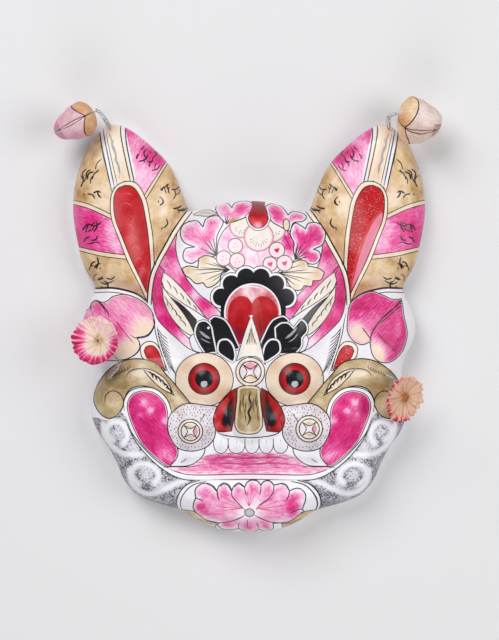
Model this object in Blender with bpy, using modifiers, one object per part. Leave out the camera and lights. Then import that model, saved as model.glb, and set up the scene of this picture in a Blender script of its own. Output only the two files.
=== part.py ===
"""Painted tiger mask of moulded papier-mache, lying on its back rim with the face up.

The face and the two ears are hollow relief shells that share one moulded surface and part
along the seams. A bud on a wire spring stands on each ear tip, and a flower on a wire
spring on each cheek. X runs across the face, Y towards the ears and Z out of the face. The
tables are in millimetres, for the half at +X, and the shells are mirrored about X = 0.
"""

import math

import bpy
import numpy as np
from mathutils import Quaternion, Vector
from mathutils.geometry import delaunay_2d_cdt

MM = 0.001

# Driving sizes of the moulded shells, in millimetres
WALL = 3.5
RIM_HEIGHT = 6.0
EDGE_ROUND = 14.0
CROWN_RISE = 44.0
CROWN_CENTRE_Y = -38.0
CROWN_HALF_WIDTH = 150.0
CROWN_HALF_HEIGHT = 165.0
EAR_PLATEAU = 17.0
PLATEAU_BLEND = 6.0
SEAM_VALLEY_DEPTH = 0.30
SEAM_VALLEY_REACH = 7.0
SEAM_GAP = 0.3
FACE_MESH = 8.3
EAR_MESH = 9.0
EDGE_STEP = 8.0
EDGE_RINGS = (1.3, 4.2, 8.6)
EDGE_CLEAR = (1.1, 2.4, 3.6)
SEAM_RING = 4.0

# Outlines of the half at +X, seen from the front, as (x, y)
FOREHEAD_EDGE = [(0.0, 92.4), (14.4, 91.2), (24.0, 88.8), (33.6, 85.6), (41.6, 83.8), (49.0, 84.6)]
EAR_EDGE = [
    (49.0, 84.6), (53.4, 96.4), (57.4, 106.8), (62.4, 117.6), (68.7, 126.2), (78.4, 135.6),
    (88.5, 144.4), (98.4, 150.8), (107.2, 153.8), (113.6, 152.9), (121.1, 147.0), (128.0, 139.0),
    (133.2, 128.4), (137.6, 116.4), (140.6, 104.8), (141.9, 92.0), (141.9, 81.2), (140.6, 70.6),
    (138.2, 58.0), (135.8, 47.0), (131.8, 36.4), (126.0, 27.0), (124.0, 20.8),
]
JAW_EDGE = [
    (124.0, 20.8), (127.4, 12.4), (131.4, 3.6), (134.2, -6.0), (133.4, -17.2), (129.2, -27.6),
    (125.4, -35.2), (123.5, -46.0), (124.4, -57.7), (127.1, -67.3), (127.4, -75.9), (125.6, -85.5),
    (120.8, -96.2), (113.6, -106.0), (108.4, -115.6), (104.5, -124.1), (101.9, -130.6),
    (97.0, -138.0), (90.6, -144.4), (81.6, -149.0), (70.4, -152.8), (56.8, -156.4),
    (50.4, -159.6), (41.0, -165.7), (30.4, -170.6), (18.4, -173.6), (0.0, -174.8),
]
SEAM_UP_THE_BROW = [
    (80.8, 9.2), (80.2, 20.4), (78.1, 32.4), (73.6, 43.3), (66.4, 56.4), (59.8, 68.2), (49.0, 84.6),
]
SEAM_OVER_THE_CHEEK = [(124.0, 20.8), (109.2, 21.0), (96.5, 18.5), (88.3, 15.2), (80.8, 9.2)]

# The relief, one row for each swelling or hollow: its place, how far it reaches across and
# along, how far its long axis leans outwards from upright, its rise, and how steep its edge
# is, from 2 for soft to 0.6 for crisp
RELIEF_COLUMNS = ("x", "y", "across", "along", "lean", "rise", "edge")
RELIEF = {
    "forehead": (0.0, 40.0, 66.0, 56.0, 0.0, 11.0, 1.5),
    "brow_plume": (57.0, -2.0, 15.0, 42.0, 28.0, 4.0, 1.5),
    "nose_bridge": (0.0, -14.0, 11.0, 38.0, 0.0, 5.0, 1.2),
    "eye": (35.8, -50.2, 23.5, 23.5, 0.0, 12.0, 0.9),
    "iris": (35.4, -49.8, 14.0, 14.0, 0.0, 2.0, 1.2),
    "bridge_roundel": (0.0, -44.5, 13.0, 13.0, 0.0, 4.0, 1.2),
    "nose_ridge": (0.0, -74.0, 17.0, 30.0, 0.0, 18.0, 1.3),
    "nose_wing": (15.0, -83.0, 15.0, 17.0, 20.0, 8.0, 1.2),
    "whisker_pad": (45.4, -87.5, 21.0, 21.0, 0.0, 8.0, 1.1),
    "whisker_roundel": (47.2, -91.0, 11.0, 11.0, 0.0, 2.0, 1.2),
    "upper_lip": (0.0, -104.0, 38.0, 14.0, 0.0, 4.0, 1.3),
    "mouth": (0.0, -121.0, 72.0, 11.0, 0.0, -6.0, 1.2),
    "cheek_lobe": (75.0, -89.6, 20.0, 34.0, 19.0, 6.0, 1.2),
    "brow_curl": (110.4, -66.0, 17.0, 17.0, 0.0, 4.0, 1.3),
    "brow_arm": (82.0, -47.0, 12.0, 36.0, 100.0, 4.0, 1.4),
    "temple_petal": (92.0, -4.0, 26.0, 21.0, 0.0, 5.0, 1.3),
    "temple_leaf": (104.0, -27.0, 20.0, 15.0, 0.0, 3.0, 1.3),
    "jaw_lobe_high": (105.0, -94.0, 17.0, 24.0, 20.0, 5.0, 1.3),
    "jaw_lobe_low": (79.0, -126.0, 24.0, 20.0, 0.0, 5.0, 1.3),
    "chin": (0.0, -150.0, 56.0, 26.0, 0.0, 10.0, 1.2),
    "ear": (106.0, 92.0, 36.0, 66.0, 4.0, 8.0, 1.3),
    "ear_hollow": (95.0, 70.0, 15.0, 46.0, 10.0, -5.0, 1.3),
}

# Wire springs. The coil stands clear of the shell and of what it carries by the seat gap
WIRE = 0.9
COIL_RADIUS = 1.35
POINTS_A_TURN = 6
LEG = 1.2
SEAT_GAP = 0.3
SEAT_SLOPE = 0.2

# Buds: a flattened egg, with its profile from the wire to the tip
BUD_LENGTH = 36.0
BUD_WIDTH = 34.0
BUD_THICKNESS = 25.0
BUD_SIDES = 16
BUD_PROFILE = [  # share of the length, share of the half width
    (0.03, 0.36), (0.10, 0.66), (0.22, 0.90), (0.38, 1.00),
    (0.56, 0.92), (0.76, 0.66), (0.90, 0.36), (0.97, 0.16),
]

# Flowers: a fluted cup, with its profile from the centre out and back in underneath
FLOWER_PETALS = 13
POINTS_A_PETAL = 4
FLOWER_FRONT = 4.6
FLOWER_PROFILE = [  # radius, height above the foot, share of the fluting
    (6.0, 5.2, 0.4), (13.0, 7.4, 0.9), (19.4, 12.4, 1.0), (18.6, 10.2, 1.0), (3.6, 0.5, 0.0),
]
FLUTE_DEPTH = 0.9
SCALLOP_DEPTH = 0.8

# What stands on a spring: the spring's root on the shell, a point that it bends past, the foot
# of the bud or flower, the way that it points or faces, its roll and the spring's turns
EAR_ROOT = (111.5, 149.0)
CHEEK_ROOT = (109.5, -48.8)
SIDES = ((-1, "left"), (1, "right"))
SPRUNG = {
    "ear_left": {
        "root": (-111.5, 149.0), "via": (-115.5, 157.0, 30.0), "foot": (-123.4, 162.0, 33.0),
        "facing": (-0.87, -0.45, -0.05), "roll": 90.0, "turns": 8,
    },
    "ear_right": {
        "root": (111.5, 149.0), "via": (111.5, 158.0, 29.0), "foot": (119.0, 160.2, 32.0),
        "facing": (0.97, -0.22, -0.05), "roll": 0.0, "turns": 8,
    },
    "cheek_left": {
        "root": (-109.5, -48.8), "via": (-103.5, -37.0, 50.0), "foot": (-118.6, -21.5, 51.0),
        "facing": (-0.30, 0.12, 0.95), "roll": 0.0, "turns": 11,
    },
    "cheek_right": {
        "root": (109.5, -48.8), "via": (115.0, -52.0, 44.5), "foot": (117.0, -64.0, 42.0),
        "facing": (0.62, -0.25, 0.74), "roll": 12.0, "turns": 8,
    },
}


def curve_through(points, step):
    """Points about one step apart on a smooth curve through the given ones."""
    p = np.array(points, float)
    ends = np.vstack([2 * p[0] - p[1], p, 2 * p[-1] - p[-2]])
    found = []
    for i in range(1, len(ends) - 2):
        a, b, c, d = ends[i - 1 : i + 3]
        count = max(1, round(float(np.linalg.norm(c - b)) / step))
        for k in range(count):
            t = k / count
            found.append(
                0.5 * (2 * b + (c - a) * t + (2 * a - 5 * b + 4 * c - d) * t**2
                       + (3 * b - a - 3 * c + d) * t**3)
            )
    return np.array(found + [ends[-2]])


def evened(line, step):
    """The same line with its points spread evenly, about one step apart."""
    lengths = np.r_[0.0, np.cumsum(np.linalg.norm(np.diff(line, axis=0), axis=1))]
    count = max(1, round(lengths[-1] / step))
    places = np.linspace(0.0, lengths[-1], count + 1)
    return np.column_stack([np.interp(places, lengths, line[:, k]) for k in range(line.shape[1])])


def shifted(line, distance):
    """The line moved sideways, to its left where the distance is positive."""
    ways = np.diff(line, axis=0)
    ways /= np.linalg.norm(ways, axis=1)[:, None]
    left = np.column_stack([-ways[:, 1], ways[:, 0]])
    before = np.vstack([left[:1], left])
    after = np.vstack([left, left[-1:]])
    middle = before + after
    middle /= np.linalg.norm(middle, axis=1)[:, None]
    return line + middle * (distance / np.sum(middle * after, axis=1))[:, None]


def distance_to(points, line):
    """How far each point is from the line."""
    a, way = line[:-1], np.diff(line, axis=0)
    along = points[:, None, :] - a[None, :, :]
    share = np.clip((along * way).sum(2) / (way**2).sum(1), 0.0, 1.0)
    return np.sqrt(((along - share[..., None] * way) ** 2).sum(2)).min(1)


def inside(points, ring):
    """True for each point inside the closed ring."""
    x, y = points[:, :1], points[:, 1:]
    x1, y1 = ring[:, 0], ring[:, 1]
    x2, y2 = np.roll(x1, -1), np.roll(y1, -1)
    crosses = (y1 > y) != (y2 > y)
    rise = np.where(y2 == y1, 1.0, y2 - y1)
    return (crosses & (x < (x2 - x1) * (y - y1) / rise + x1)).sum(1) % 2 == 1


OUTER_EDGE = np.vstack([
    curve_through(FOREHEAD_EDGE, 3.0)[:-1],
    curve_through(EAR_EDGE, 3.0)[:-1],
    curve_through(JAW_EDGE, 3.0),
])
SEAM = np.vstack([
    curve_through(SEAM_OVER_THE_CHEEK, 3.0)[:-1],
    curve_through(SEAM_UP_THE_BROW, 3.0),
])


def height(places):
    """Height of the moulded front above the floor at each (x, y), in millimetres."""
    p = np.array(places, float).reshape(-1, 2)
    p[:, 0] = np.abs(p[:, 0])
    x, y = p[:, 0], p[:, 1]
    up_the_crown = (y - CROWN_CENTRE_Y) / CROWN_HALF_HEIGHT
    crown = CROWN_RISE * np.sqrt(np.clip(1 - (x / CROWN_HALF_WIDTH) ** 2 - up_the_crown**2, 0, 1))
    form = 0.5 * (crown + EAR_PLATEAU + np.hypot(crown - EAR_PLATEAU, PLATEAU_BLEND))
    form *= 1 - SEAM_VALLEY_DEPTH * np.exp(-((distance_to(p, SEAM) / SEAM_VALLEY_REACH) ** 2))
    for row in RELIEF.values():
        swell = dict(zip(RELIEF_COLUMNS, row))
        lean = math.radians(swell["lean"])
        dx, dy = x - swell["x"], y - swell["y"]
        across = (dx * math.cos(lean) - dy * math.sin(lean)) / swell["across"]
        along = (dx * math.sin(lean) + dy * math.cos(lean)) / swell["along"]
        form += swell["rise"] * np.clip(1 - across**2 - along**2, 0, 1) ** swell["edge"]
    inwards = np.clip(distance_to(p, OUTER_EDGE) / EDGE_ROUND, 0, 1)
    return RIM_HEIGHT + form * np.sqrt(1 - (1 - inwards) ** 2)


def outwards(place):
    """The point on the front at (x, y), and the direction straight out of the front there."""
    x, y = place
    step = 0.5
    z = height([(x, y), (x + step, y), (x, y + step), (x - step, y), (x, y - step)])
    normal = Vector(((z[3] - z[1]) / (2 * step), (z[4] - z[2]) / (2 * step), 1.0)).normalized()
    return Vector((x, y, z[0])), normal


def lattice(ring, spacing):
    """Points of a triangular lattice over the region that the ring encloses."""
    low, high = ring.min(0), ring.max(0)
    row_step = spacing * math.sqrt(3) / 2
    rows = range(math.floor(low[1] / row_step), math.ceil(high[1] / row_step) + 1)
    columns = range(math.floor(low[0] / spacing) - 1, math.ceil(high[0] / spacing) + 1)
    return np.array([((c + 0.5 * (r % 2)) * spacing, r * row_step) for r in rows for c in columns])


def added(kept, points, ring, clear):
    """The kept points and those of the new ones that lie inside the ring and clear of all."""
    points = points[inside(points, ring)]
    off_the_ring = distance_to(points, np.vstack([ring, ring[:1]]))
    points = points[off_the_ring > min(clear, 0.9 * EDGE_RINGS[0])]
    for p in points:
        if np.min(np.linalg.norm(kept - p, axis=1)) > clear:
            kept = np.vstack([kept, p])
    return kept


def paint(name, colour, roughness, metallic=0.0):
    """A plain Principled material of one colour."""
    material = bpy.data.materials.new(name)
    material.use_nodes = True
    shader = material.node_tree.nodes["Principled BSDF"]
    shader.inputs["Base Color"].default_value = (*colour, 1.0)
    shader.inputs["Roughness"].default_value = roughness
    shader.inputs["Metallic"].default_value = metallic
    return material


def add_object(name, data, material):
    """A new object of the mask, wearing one material."""
    made = bpy.data.objects.new(name, data)
    made.data.materials.append(material)
    bpy.data.collections["tiger_mask"].objects.link(made)
    return made


def relief_shell(name, lines, side, spacing, pins, material):
    """A hollow relief shell over the region that the lines enclose, end to end.

    Each line comes with how it is finished: a rim line is drawn down to the floor as an
    upright rim, a seam line stays open, and the middle line is where a half is mirrored.
    A side of -1 turns the region over to the other half, and 0 mirrors it.
    """
    ring = np.vstack([line[:-1] for line, _ in lines])
    kept = ring
    for inset, clear in zip(EDGE_RINGS, EDGE_CLEAR):
        for line, finish in lines:
            if finish == "rim":
                kept = added(kept, shifted(line, -inset), ring, clear)
    for line, finish in lines:
        if finish == "seam":
            kept = added(kept, shifted(line, -SEAM_RING), ring, SEAM_RING * 0.8)
    kept = added(kept, np.reshape(pins, (-1, 2)), ring, 1.0)
    kept = added(kept, lattice(ring, spacing), ring, 0.58 * spacing)

    flat = kept * (-1.0 if side < 0 else 1.0, 1.0)
    order = list(range(len(ring)))
    if side >= 0:
        order.reverse()
    points, _, faces, sources, *_ = delaunay_2d_cdt([Vector(p) for p in flat], [], [order], 1, 1e-6)
    heights = height([tuple(p) for p in points])
    vertices = [(p[0], p[1], z) for p, z in zip(points, heights)]
    index_of = {source: i for i, found in enumerate(sources) for source in found}
    feet = {}
    start = 0
    for line, finish in lines:
        places = [(start + k) % len(ring) for k in range(len(line))]
        start += len(line) - 1
        if finish != "rim":
            continue
        for place in places:
            if place not in feet:
                x, y, _ = vertices[index_of[place]]
                feet[place] = len(vertices)
                vertices.append((x, y, 0.0))
        for a, b in zip(places, places[1:]):
            quad = (index_of[a], index_of[b], feet[b], feet[a])
            faces.append(quad if side >= 0 else quad[::-1])
    mesh = bpy.data.meshes.new(name)
    mesh.from_pydata([tuple(c * MM for c in v) for v in vertices], [], faces)
    mesh.shade_smooth()
    made = add_object(name, mesh, material)
    if side == 0:
        mirror = made.modifiers.new("other_half", "MIRROR")
        mirror.merge_threshold = 0.00001
    wall = made.modifiers.new("wall", "SOLIDIFY")
    wall.thickness = WALL * MM
    wall.offset = -1.0
    wall.use_even_offset = True
    return made


def build_shells(materials):
    """The face, and an ear on each side of it, parted along the seams."""
    forehead = evened(curve_through(FOREHEAD_EDGE, 1.0), EDGE_STEP)
    jaw = evened(curve_through(JAW_EDGE, 1.0), EDGE_STEP)
    ear = evened(curve_through(EAR_EDGE, 1.0), EDGE_STEP)
    over_cheek = evened(curve_through(SEAM_OVER_THE_CHEEK, 1.0), EDGE_STEP)
    up_brow = evened(curve_through(SEAM_UP_THE_BROW, 1.0), EDGE_STEP)
    seam = np.vstack([over_cheek[:-1], up_brow])[::-1]
    face_seam = shifted(seam, -SEAM_GAP / 2)
    ear_seam = shifted(seam, SEAM_GAP / 2)
    forehead[-1], jaw[0] = face_seam[0], face_seam[-1]
    ear[0], ear[-1] = ear_seam[0], ear_seam[-1]
    top, bottom = forehead[0][1], jaw[-1][1]
    low = [bottom + inset for inset in (0.0, *EDGE_RINGS)]
    high = [top - inset for inset in (0.0, *EDGE_RINGS)]
    between = np.linspace(low[-1], high[-1], round((high[-1] - low[-1]) / FACE_MESH) + 1)
    middle = np.array([(0.0, y) for y in (*low[:-1], *between, *high[-2::-1])])
    face_lines = [(forehead, "rim"), (face_seam, "seam"), (jaw, "rim"), (middle, "middle")]
    relief_shell("face_shell", face_lines, 0, FACE_MESH, [CHEEK_ROOT], materials["face"])
    ear_lines = [(ear, "rim"), (ear_seam[::-1], "seam")]
    for side, word in SIDES:
        relief_shell(f"ear_{word}", ear_lines, side, EAR_MESH, [EAR_ROOT], materials["ear"])


def frames_along(line):
    """A steady pair of sideways directions at each point of a line in space."""
    ways = [Vector(b - a).normalized() for a, b in zip(line, line[1:])]
    ways.append(ways[-1])
    side = ways[0].orthogonal().normalized()
    frames = []
    for way in ways:
        side = (side - way * side.dot(way)).normalized()
        frames.append((side, way.cross(side)))
    return frames


def spring(name, route, turns, material):
    """A wire spring that winds round a curved route, with a short straight leg at each end."""
    axis = evened(curve_through(route, 0.2), 0.2)
    length = 0.2 * (len(axis) - 1)
    axis = evened(axis, length / (turns * POINTS_A_TURN))
    points = []
    for i, (centre, (side, up)) in enumerate(zip(axis, frames_along(axis))):
        from_end = min(i, len(axis) - 1 - i) * length / (len(axis) - 1)
        radius = COIL_RADIUS * min(1.0, max(0.0, (from_end - LEG) / LEG))
        angle = 2 * math.pi * i / POINTS_A_TURN
        points.append(Vector(centre) + radius * (math.cos(angle) * side + math.sin(angle) * up))
    data = bpy.data.curves.new(name, "CURVE")
    data.dimensions = "3D"
    data.bevel_depth = WIRE / 2 * MM
    data.bevel_resolution = 2
    data.use_fill_caps = True
    line = data.splines.new("POLY")
    line.points.add(len(points) - 1)
    for spot, p in zip(line.points, points):
        spot.co = (*(p * MM), 1.0)
    return add_object(name, data, material)


def loft(name, rings, start, end, material):
    """A closed solid through rings of equal count, with a point at its start and its end."""
    count = len(rings[0])
    vertices = [start] + [p for ring in rings for p in ring] + [end]
    faces = []
    for k in range(count):
        after = (k + 1) % count
        faces.append((0, 1 + after, 1 + k))
        for r in range(len(rings) - 1):
            low, high = 1 + r * count, 1 + (r + 1) * count
            faces.append((low + k, low + after, high + after, high + k))
        last = 1 + (len(rings) - 1) * count
        faces.append((last + k, last + after, len(vertices) - 1))
    mesh = bpy.data.meshes.new(name)
    mesh.from_pydata([tuple(c * MM for c in v) for v in vertices], [], faces)
    mesh.shade_smooth()
    return add_object(name, mesh, material)


def set_facing(made, place, direction, roll):
    """Puts an object at a place, with its +Z along the direction and rolled about it."""
    made.location = Vector(place) * MM
    turn = Vector(direction).to_track_quat("Z", "Y")
    made.rotation_mode = "QUATERNION"
    made.rotation_quaternion = turn @ Quaternion((0, 0, 1), math.radians(roll))


def bud(name, foot, direction, roll, material):
    """A bud turned about its own +Z, which runs from the wire to the tip, and flattened."""
    profile = [(0.0, 0.0), *BUD_PROFILE, (1.0, 0.0)]
    points = [(width * BUD_WIDTH / 2 * MM, 0.0, share * BUD_LENGTH * MM) for share, width in profile]
    mesh = bpy.data.meshes.new(name)
    mesh.from_pydata(points, [(k, k + 1) for k in range(len(points) - 1)], [])
    made = add_object(name, mesh, material)
    turning = made.modifiers.new("turned", "SCREW")
    turning.steps = BUD_SIDES
    turning.render_steps = BUD_SIDES
    turning.use_merge_vertices = True
    turning.merge_threshold = 0.00001
    turning.use_normal_flip = True
    turning.use_smooth_shade = True
    made.scale = (1.0, BUD_THICKNESS / BUD_WIDTH, 1.0)
    set_facing(made, foot, direction, roll)


def flower(name, foot, direction, roll, material):
    """A fluted cup of petals whose +Z is the way that it faces."""
    count = FLOWER_PETALS * POINTS_A_PETAL
    rings = []
    for radius, rise, fluting in reversed(FLOWER_PROFILE):
        ring = []
        for k in range(count):
            angle = 2 * math.pi * k / count
            wave = fluting * math.cos(FLOWER_PETALS * angle)
            reach = radius + SCALLOP_DEPTH * wave
            ring.append((reach * math.cos(angle), reach * math.sin(angle), rise + FLUTE_DEPTH * wave))
        rings.append(ring)
    made = loft(name, rings, (0, 0, 0), (0, 0, FLOWER_FRONT), material)
    set_facing(made, foot, direction, roll)


def build_sprung(kind, word, materials):
    """One bud or flower on its spring, from the spring's root on the shell to its seat."""
    place = SPRUNG[f"{kind}_{word}"]
    seat, normal = outwards(place["root"])
    way = Vector(place["facing"]).normalized()
    foot = Vector(place["foot"])
    start = seat + normal * (SEAT_GAP + SEAT_SLOPE)
    end = foot - way * SEAT_GAP
    route = [start, start + normal * 2 * LEG, Vector(place["via"]), end - way * 2 * LEG, end]
    spring(f"{kind}_spring_{word}", route, place["turns"], materials["wire"])
    if kind == "ear":
        bud(f"ear_bud_{word}", foot, way, place["roll"], materials["bud"])
    else:
        flower(f"cheek_flower_{word}", foot, way, place["roll"], materials["flower"])


def main():
    for old in list(bpy.data.objects):
        bpy.data.objects.remove(old, do_unlink=True)
    collection = bpy.data.collections.new("tiger_mask")
    bpy.context.scene.collection.children.link(collection)
    materials = {
        "face": paint("white_ground", (0.86, 0.83, 0.84), 0.35),
        "ear": paint("ochre_wash", (0.55, 0.40, 0.22), 0.35),
        "bud": paint("blush_pink", (0.72, 0.48, 0.46), 0.4),
        "flower": paint("rose_pink", (0.78, 0.33, 0.40), 0.45),
        "wire": paint("steel_wire", (0.62, 0.62, 0.64), 0.3, 1.0),
    }
    build_shells(materials)
    for kind in ("ear", "cheek"):
        for _, word in SIDES:
            build_sprung(kind, word, materials)


main()
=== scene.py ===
# %% [markdown]
# # A painted tiger mask
#
# The mask is moulded in papier-mache, painted with a brush in washes and ink, and lacquered.
# Two buds and two flowers nod on thin wire springs. This script dresses a plain model of it:
# it loads the model as a fixed frame and puts a finer shell, with all the paint on it, around
# the same sizes. Everything is in the model's own space, in metres, with the face up along +Z.

# %% Load the fixed frame
import math

import bpy
import numpy as np
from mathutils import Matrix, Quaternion, Vector
from mathutils.geometry import delaunay_2d_cdt


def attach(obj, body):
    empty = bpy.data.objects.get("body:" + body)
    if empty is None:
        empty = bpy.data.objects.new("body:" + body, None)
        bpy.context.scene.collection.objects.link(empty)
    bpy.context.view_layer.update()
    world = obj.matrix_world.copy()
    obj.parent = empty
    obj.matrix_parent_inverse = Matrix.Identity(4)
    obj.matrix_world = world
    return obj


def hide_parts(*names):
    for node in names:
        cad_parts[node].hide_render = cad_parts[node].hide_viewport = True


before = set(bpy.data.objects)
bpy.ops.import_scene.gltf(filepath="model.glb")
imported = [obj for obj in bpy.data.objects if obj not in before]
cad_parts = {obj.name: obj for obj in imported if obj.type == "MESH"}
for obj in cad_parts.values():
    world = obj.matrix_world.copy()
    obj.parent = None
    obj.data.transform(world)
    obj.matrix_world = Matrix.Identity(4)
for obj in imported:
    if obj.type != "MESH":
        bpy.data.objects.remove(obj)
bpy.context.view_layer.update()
MM = 0.001

# %% [markdown]
# ## The camera, the floor and the light
#
# A long lens looks straight down at the face, as a copy stand would, so nothing is foreshortened.
# The drawing is laid out in squares of 0.8 mm, and the picture is 640 of them high. A 36 mm
# sensor at distance D then needs a lens of 36 * D / 512 mm. Large soft lamps suit lacquer: they
# show as broad, quiet highlights. The Standard view keeps the painted colours as they are mixed.

# %% Camera, floor and light
SQUARE = 0.8
MIDDLE = (249.0, 315.0)
PICTURE = (499, 640)
CAMERA_DISTANCE = 2500.0
SENSOR = 36.0


def put(name, data):
    """A new object that holds this data, linked to the scene."""
    made = bpy.data.objects.new(name, data)
    bpy.context.scene.collection.objects.link(made)
    return made


camera = put("camera", bpy.data.cameras.new("camera"))
bpy.context.scene.camera = camera
camera.data.sensor_width = SENSOR
camera.data.lens = SENSOR * CAMERA_DISTANCE / (PICTURE[1] * SQUARE)
camera.data.clip_end = 100.0
camera.location = (
    (PICTURE[0] / 2 - MIDDLE[0]) * SQUARE * MM,
    (MIDDLE[1] - PICTURE[1] / 2) * SQUARE * MM,
    (CAMERA_DISTANCE + 30.0) * MM,
)


def lamp(name, place, size, watts, aim=(0.0, 0.0, 0.03)):
    """A soft square lamp at a place in metres, turned towards the mask."""
    made = put(name, bpy.data.lights.new(name, "AREA"))
    made.data.size = size
    made.data.energy = watts
    made.location = place
    made.rotation_mode = "QUATERNION"
    made.rotation_quaternion = (Vector(aim) - Vector(place)).to_track_quat("-Z", "Y")


lamp("key", (-0.9, 1.3, 1.7), 1.4, 35.0)
lamp("fill", (1.5, 0.2, 1.5), 1.4, 20.0)
lamp("low_fill", (-0.2, -1.7, 1.1), 1.4, 14.0)
world = bpy.data.worlds.new("studio")
world.use_nodes = True
world.node_tree.nodes["Background"].inputs["Color"].default_value = (0.95, 0.96, 1.0, 1.0)
world.node_tree.nodes["Background"].inputs["Strength"].default_value = 0.2
bpy.context.scene.world = world
bpy.context.scene.view_settings.view_transform = "Standard"

FLOOR_HALF = 4.0
FLOOR_DROP = 0.0003
floor_mesh = bpy.data.meshes.new("floor")
floor_mesh.from_pydata(
    [(x * FLOOR_HALF, y * FLOOR_HALF, -FLOOR_DROP) for x, y in ((-1, -1), (1, -1), (1, 1), (-1, 1))],
    [], [(0, 1, 2, 3)],
)
floor = put("floor", floor_mesh)
print("lens in mm:", round(camera.data.lens, 1))

# %% [markdown]
# ## The moulded form
#
# A folk mask is laid up in paper over a carved form, so it has one flowing surface with soft
# swellings for the brow, eyes, nose and lips. Here that surface is a height for every place
# across the face: a domed crown, a rounded edge, and one row for each swelling. The sizes are
# the plain model's, so the finer shell lies exactly where the plain one does.

# %% Sizes of the moulding
WALL = 3.5
RIM_HEIGHT = 6.0
EDGE_ROUND = 14.0
CROWN_RISE = 44.0
CROWN_CENTRE_Y = -38.0
CROWN_HALF_WIDTH = 150.0
CROWN_HALF_HEIGHT = 165.0
EAR_PLATEAU = 17.0
PLATEAU_BLEND = 6.0
SEAM_VALLEY_DEPTH = 0.30
SEAM_VALLEY_REACH = 7.0
SEAM_GAP = 0.3

FOREHEAD_EDGE = [(0.0, 92.4), (14.4, 91.2), (24.0, 88.8), (33.6, 85.6), (41.6, 83.8), (49.0, 84.6)]
EAR_EDGE = [
    (49.0, 84.6), (53.4, 96.4), (57.4, 106.8), (62.4, 117.6), (68.7, 126.2), (78.4, 135.6),
    (88.5, 144.4), (98.4, 150.8), (107.2, 153.8), (113.6, 152.9), (121.1, 147.0), (128.0, 139.0),
    (133.2, 128.4), (137.6, 116.4), (140.6, 104.8), (141.9, 92.0), (141.9, 81.2), (140.6, 70.6),
    (138.2, 58.0), (135.8, 47.0), (131.8, 36.4), (126.0, 27.0), (124.0, 20.8),
]
JAW_EDGE = [
    (124.0, 20.8), (127.4, 12.4), (131.4, 3.6), (134.2, -6.0), (133.4, -17.2), (129.2, -27.6),
    (125.4, -35.2), (123.5, -46.0), (124.4, -57.7), (127.1, -67.3), (127.4, -75.9), (125.6, -85.5),
    (120.8, -96.2), (113.6, -106.0), (108.4, -115.6), (104.5, -124.1), (101.9, -130.6),
    (97.0, -138.0), (90.6, -144.4), (81.6, -149.0), (70.4, -152.8), (56.8, -156.4),
    (50.4, -159.6), (41.0, -165.7), (30.4, -170.6), (18.4, -173.6), (0.0, -174.8),
]
SEAM_UP_THE_BROW = [
    (80.8, 9.2), (80.2, 20.4), (78.1, 32.4), (73.6, 43.3), (66.4, 56.4), (59.8, 68.2), (49.0, 84.6),
]
SEAM_OVER_THE_CHEEK = [(124.0, 20.8), (109.2, 21.0), (96.5, 18.5), (88.3, 15.2), (80.8, 9.2)]

# Each swelling: x, y, reach across, reach along, lean in degrees, rise, steepness of its edge
SWELLINGS = [
    (0.0, 40.0, 66.0, 56.0, 0.0, 11.0, 1.5),  # forehead
    (57.0, -2.0, 15.0, 42.0, 28.0, 4.0, 1.5),  # brow plume
    (0.0, -14.0, 11.0, 38.0, 0.0, 5.0, 1.2),  # bridge of the nose
    (35.8, -50.2, 23.5, 23.5, 0.0, 12.0, 0.9),  # eye
    (35.4, -49.8, 14.0, 14.0, 0.0, 2.0, 1.2),  # iris
    (0.0, -44.5, 13.0, 13.0, 0.0, 4.0, 1.2),  # boss between the eyes
    (0.0, -74.0, 17.0, 30.0, 0.0, 18.0, 1.3),  # ridge of the nose
    (15.0, -83.0, 15.0, 17.0, 20.0, 8.0, 1.2),  # wing of the nose
    (45.4, -87.5, 21.0, 21.0, 0.0, 8.0, 1.1),  # whisker pad
    (47.2, -91.0, 11.0, 11.0, 0.0, 2.0, 1.2),  # roundel on the pad
    (0.0, -104.0, 38.0, 14.0, 0.0, 4.0, 1.3),  # upper lip
    (0.0, -121.0, 72.0, 11.0, 0.0, -6.0, 1.2),  # mouth
    (75.0, -89.6, 20.0, 34.0, 19.0, 6.0, 1.2),  # cheek lobe
    (110.4, -66.0, 17.0, 17.0, 0.0, 4.0, 1.3),  # curl of the eyebrow
    (82.0, -47.0, 12.0, 36.0, 100.0, 4.0, 1.4),  # arm of the eyebrow
    (92.0, -4.0, 26.0, 21.0, 0.0, 5.0, 1.3),  # temple petal
    (104.0, -27.0, 20.0, 15.0, 0.0, 3.0, 1.3),  # temple leaf
    (105.0, -94.0, 17.0, 24.0, 20.0, 5.0, 1.3),  # upper jaw
    (79.0, -126.0, 24.0, 20.0, 0.0, 5.0, 1.3),  # lower jaw
    (0.0, -150.0, 56.0, 26.0, 0.0, 10.0, 1.2),  # chin
    (106.0, 92.0, 36.0, 66.0, 4.0, 8.0, 1.3),  # ear
    (95.0, 70.0, 15.0, 46.0, 10.0, -5.0, 1.3),  # hollow of the ear
]
print("swellings:", len(SWELLINGS))

# %% [markdown]
# ## Curves through a few points
#
# Both the outline and the painted shapes are smooth curves through a few points. A Catmull-Rom
# curve passes through every point that it is given, which makes it easier to draw with than a
# Bezier curve. A shape with sharp corners is drawn in runs, and each run ends in a corner.

# %% Curves
CURVE_STEP = 1.1


def curve_between(a, b, c, d, step):
    """Points on the smooth curve from b up to, but not at, c. Its neighbours are a and d."""
    t = np.arange(max(1, round(float(np.linalg.norm(c - b)) / step)))[:, None]
    t = t / len(t)
    return 0.5 * (
        2 * b + (c - a) * t + (2 * a - 5 * b + 4 * c - d) * t**2 + (3 * b - a - 3 * c + d) * t**3
    )


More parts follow.
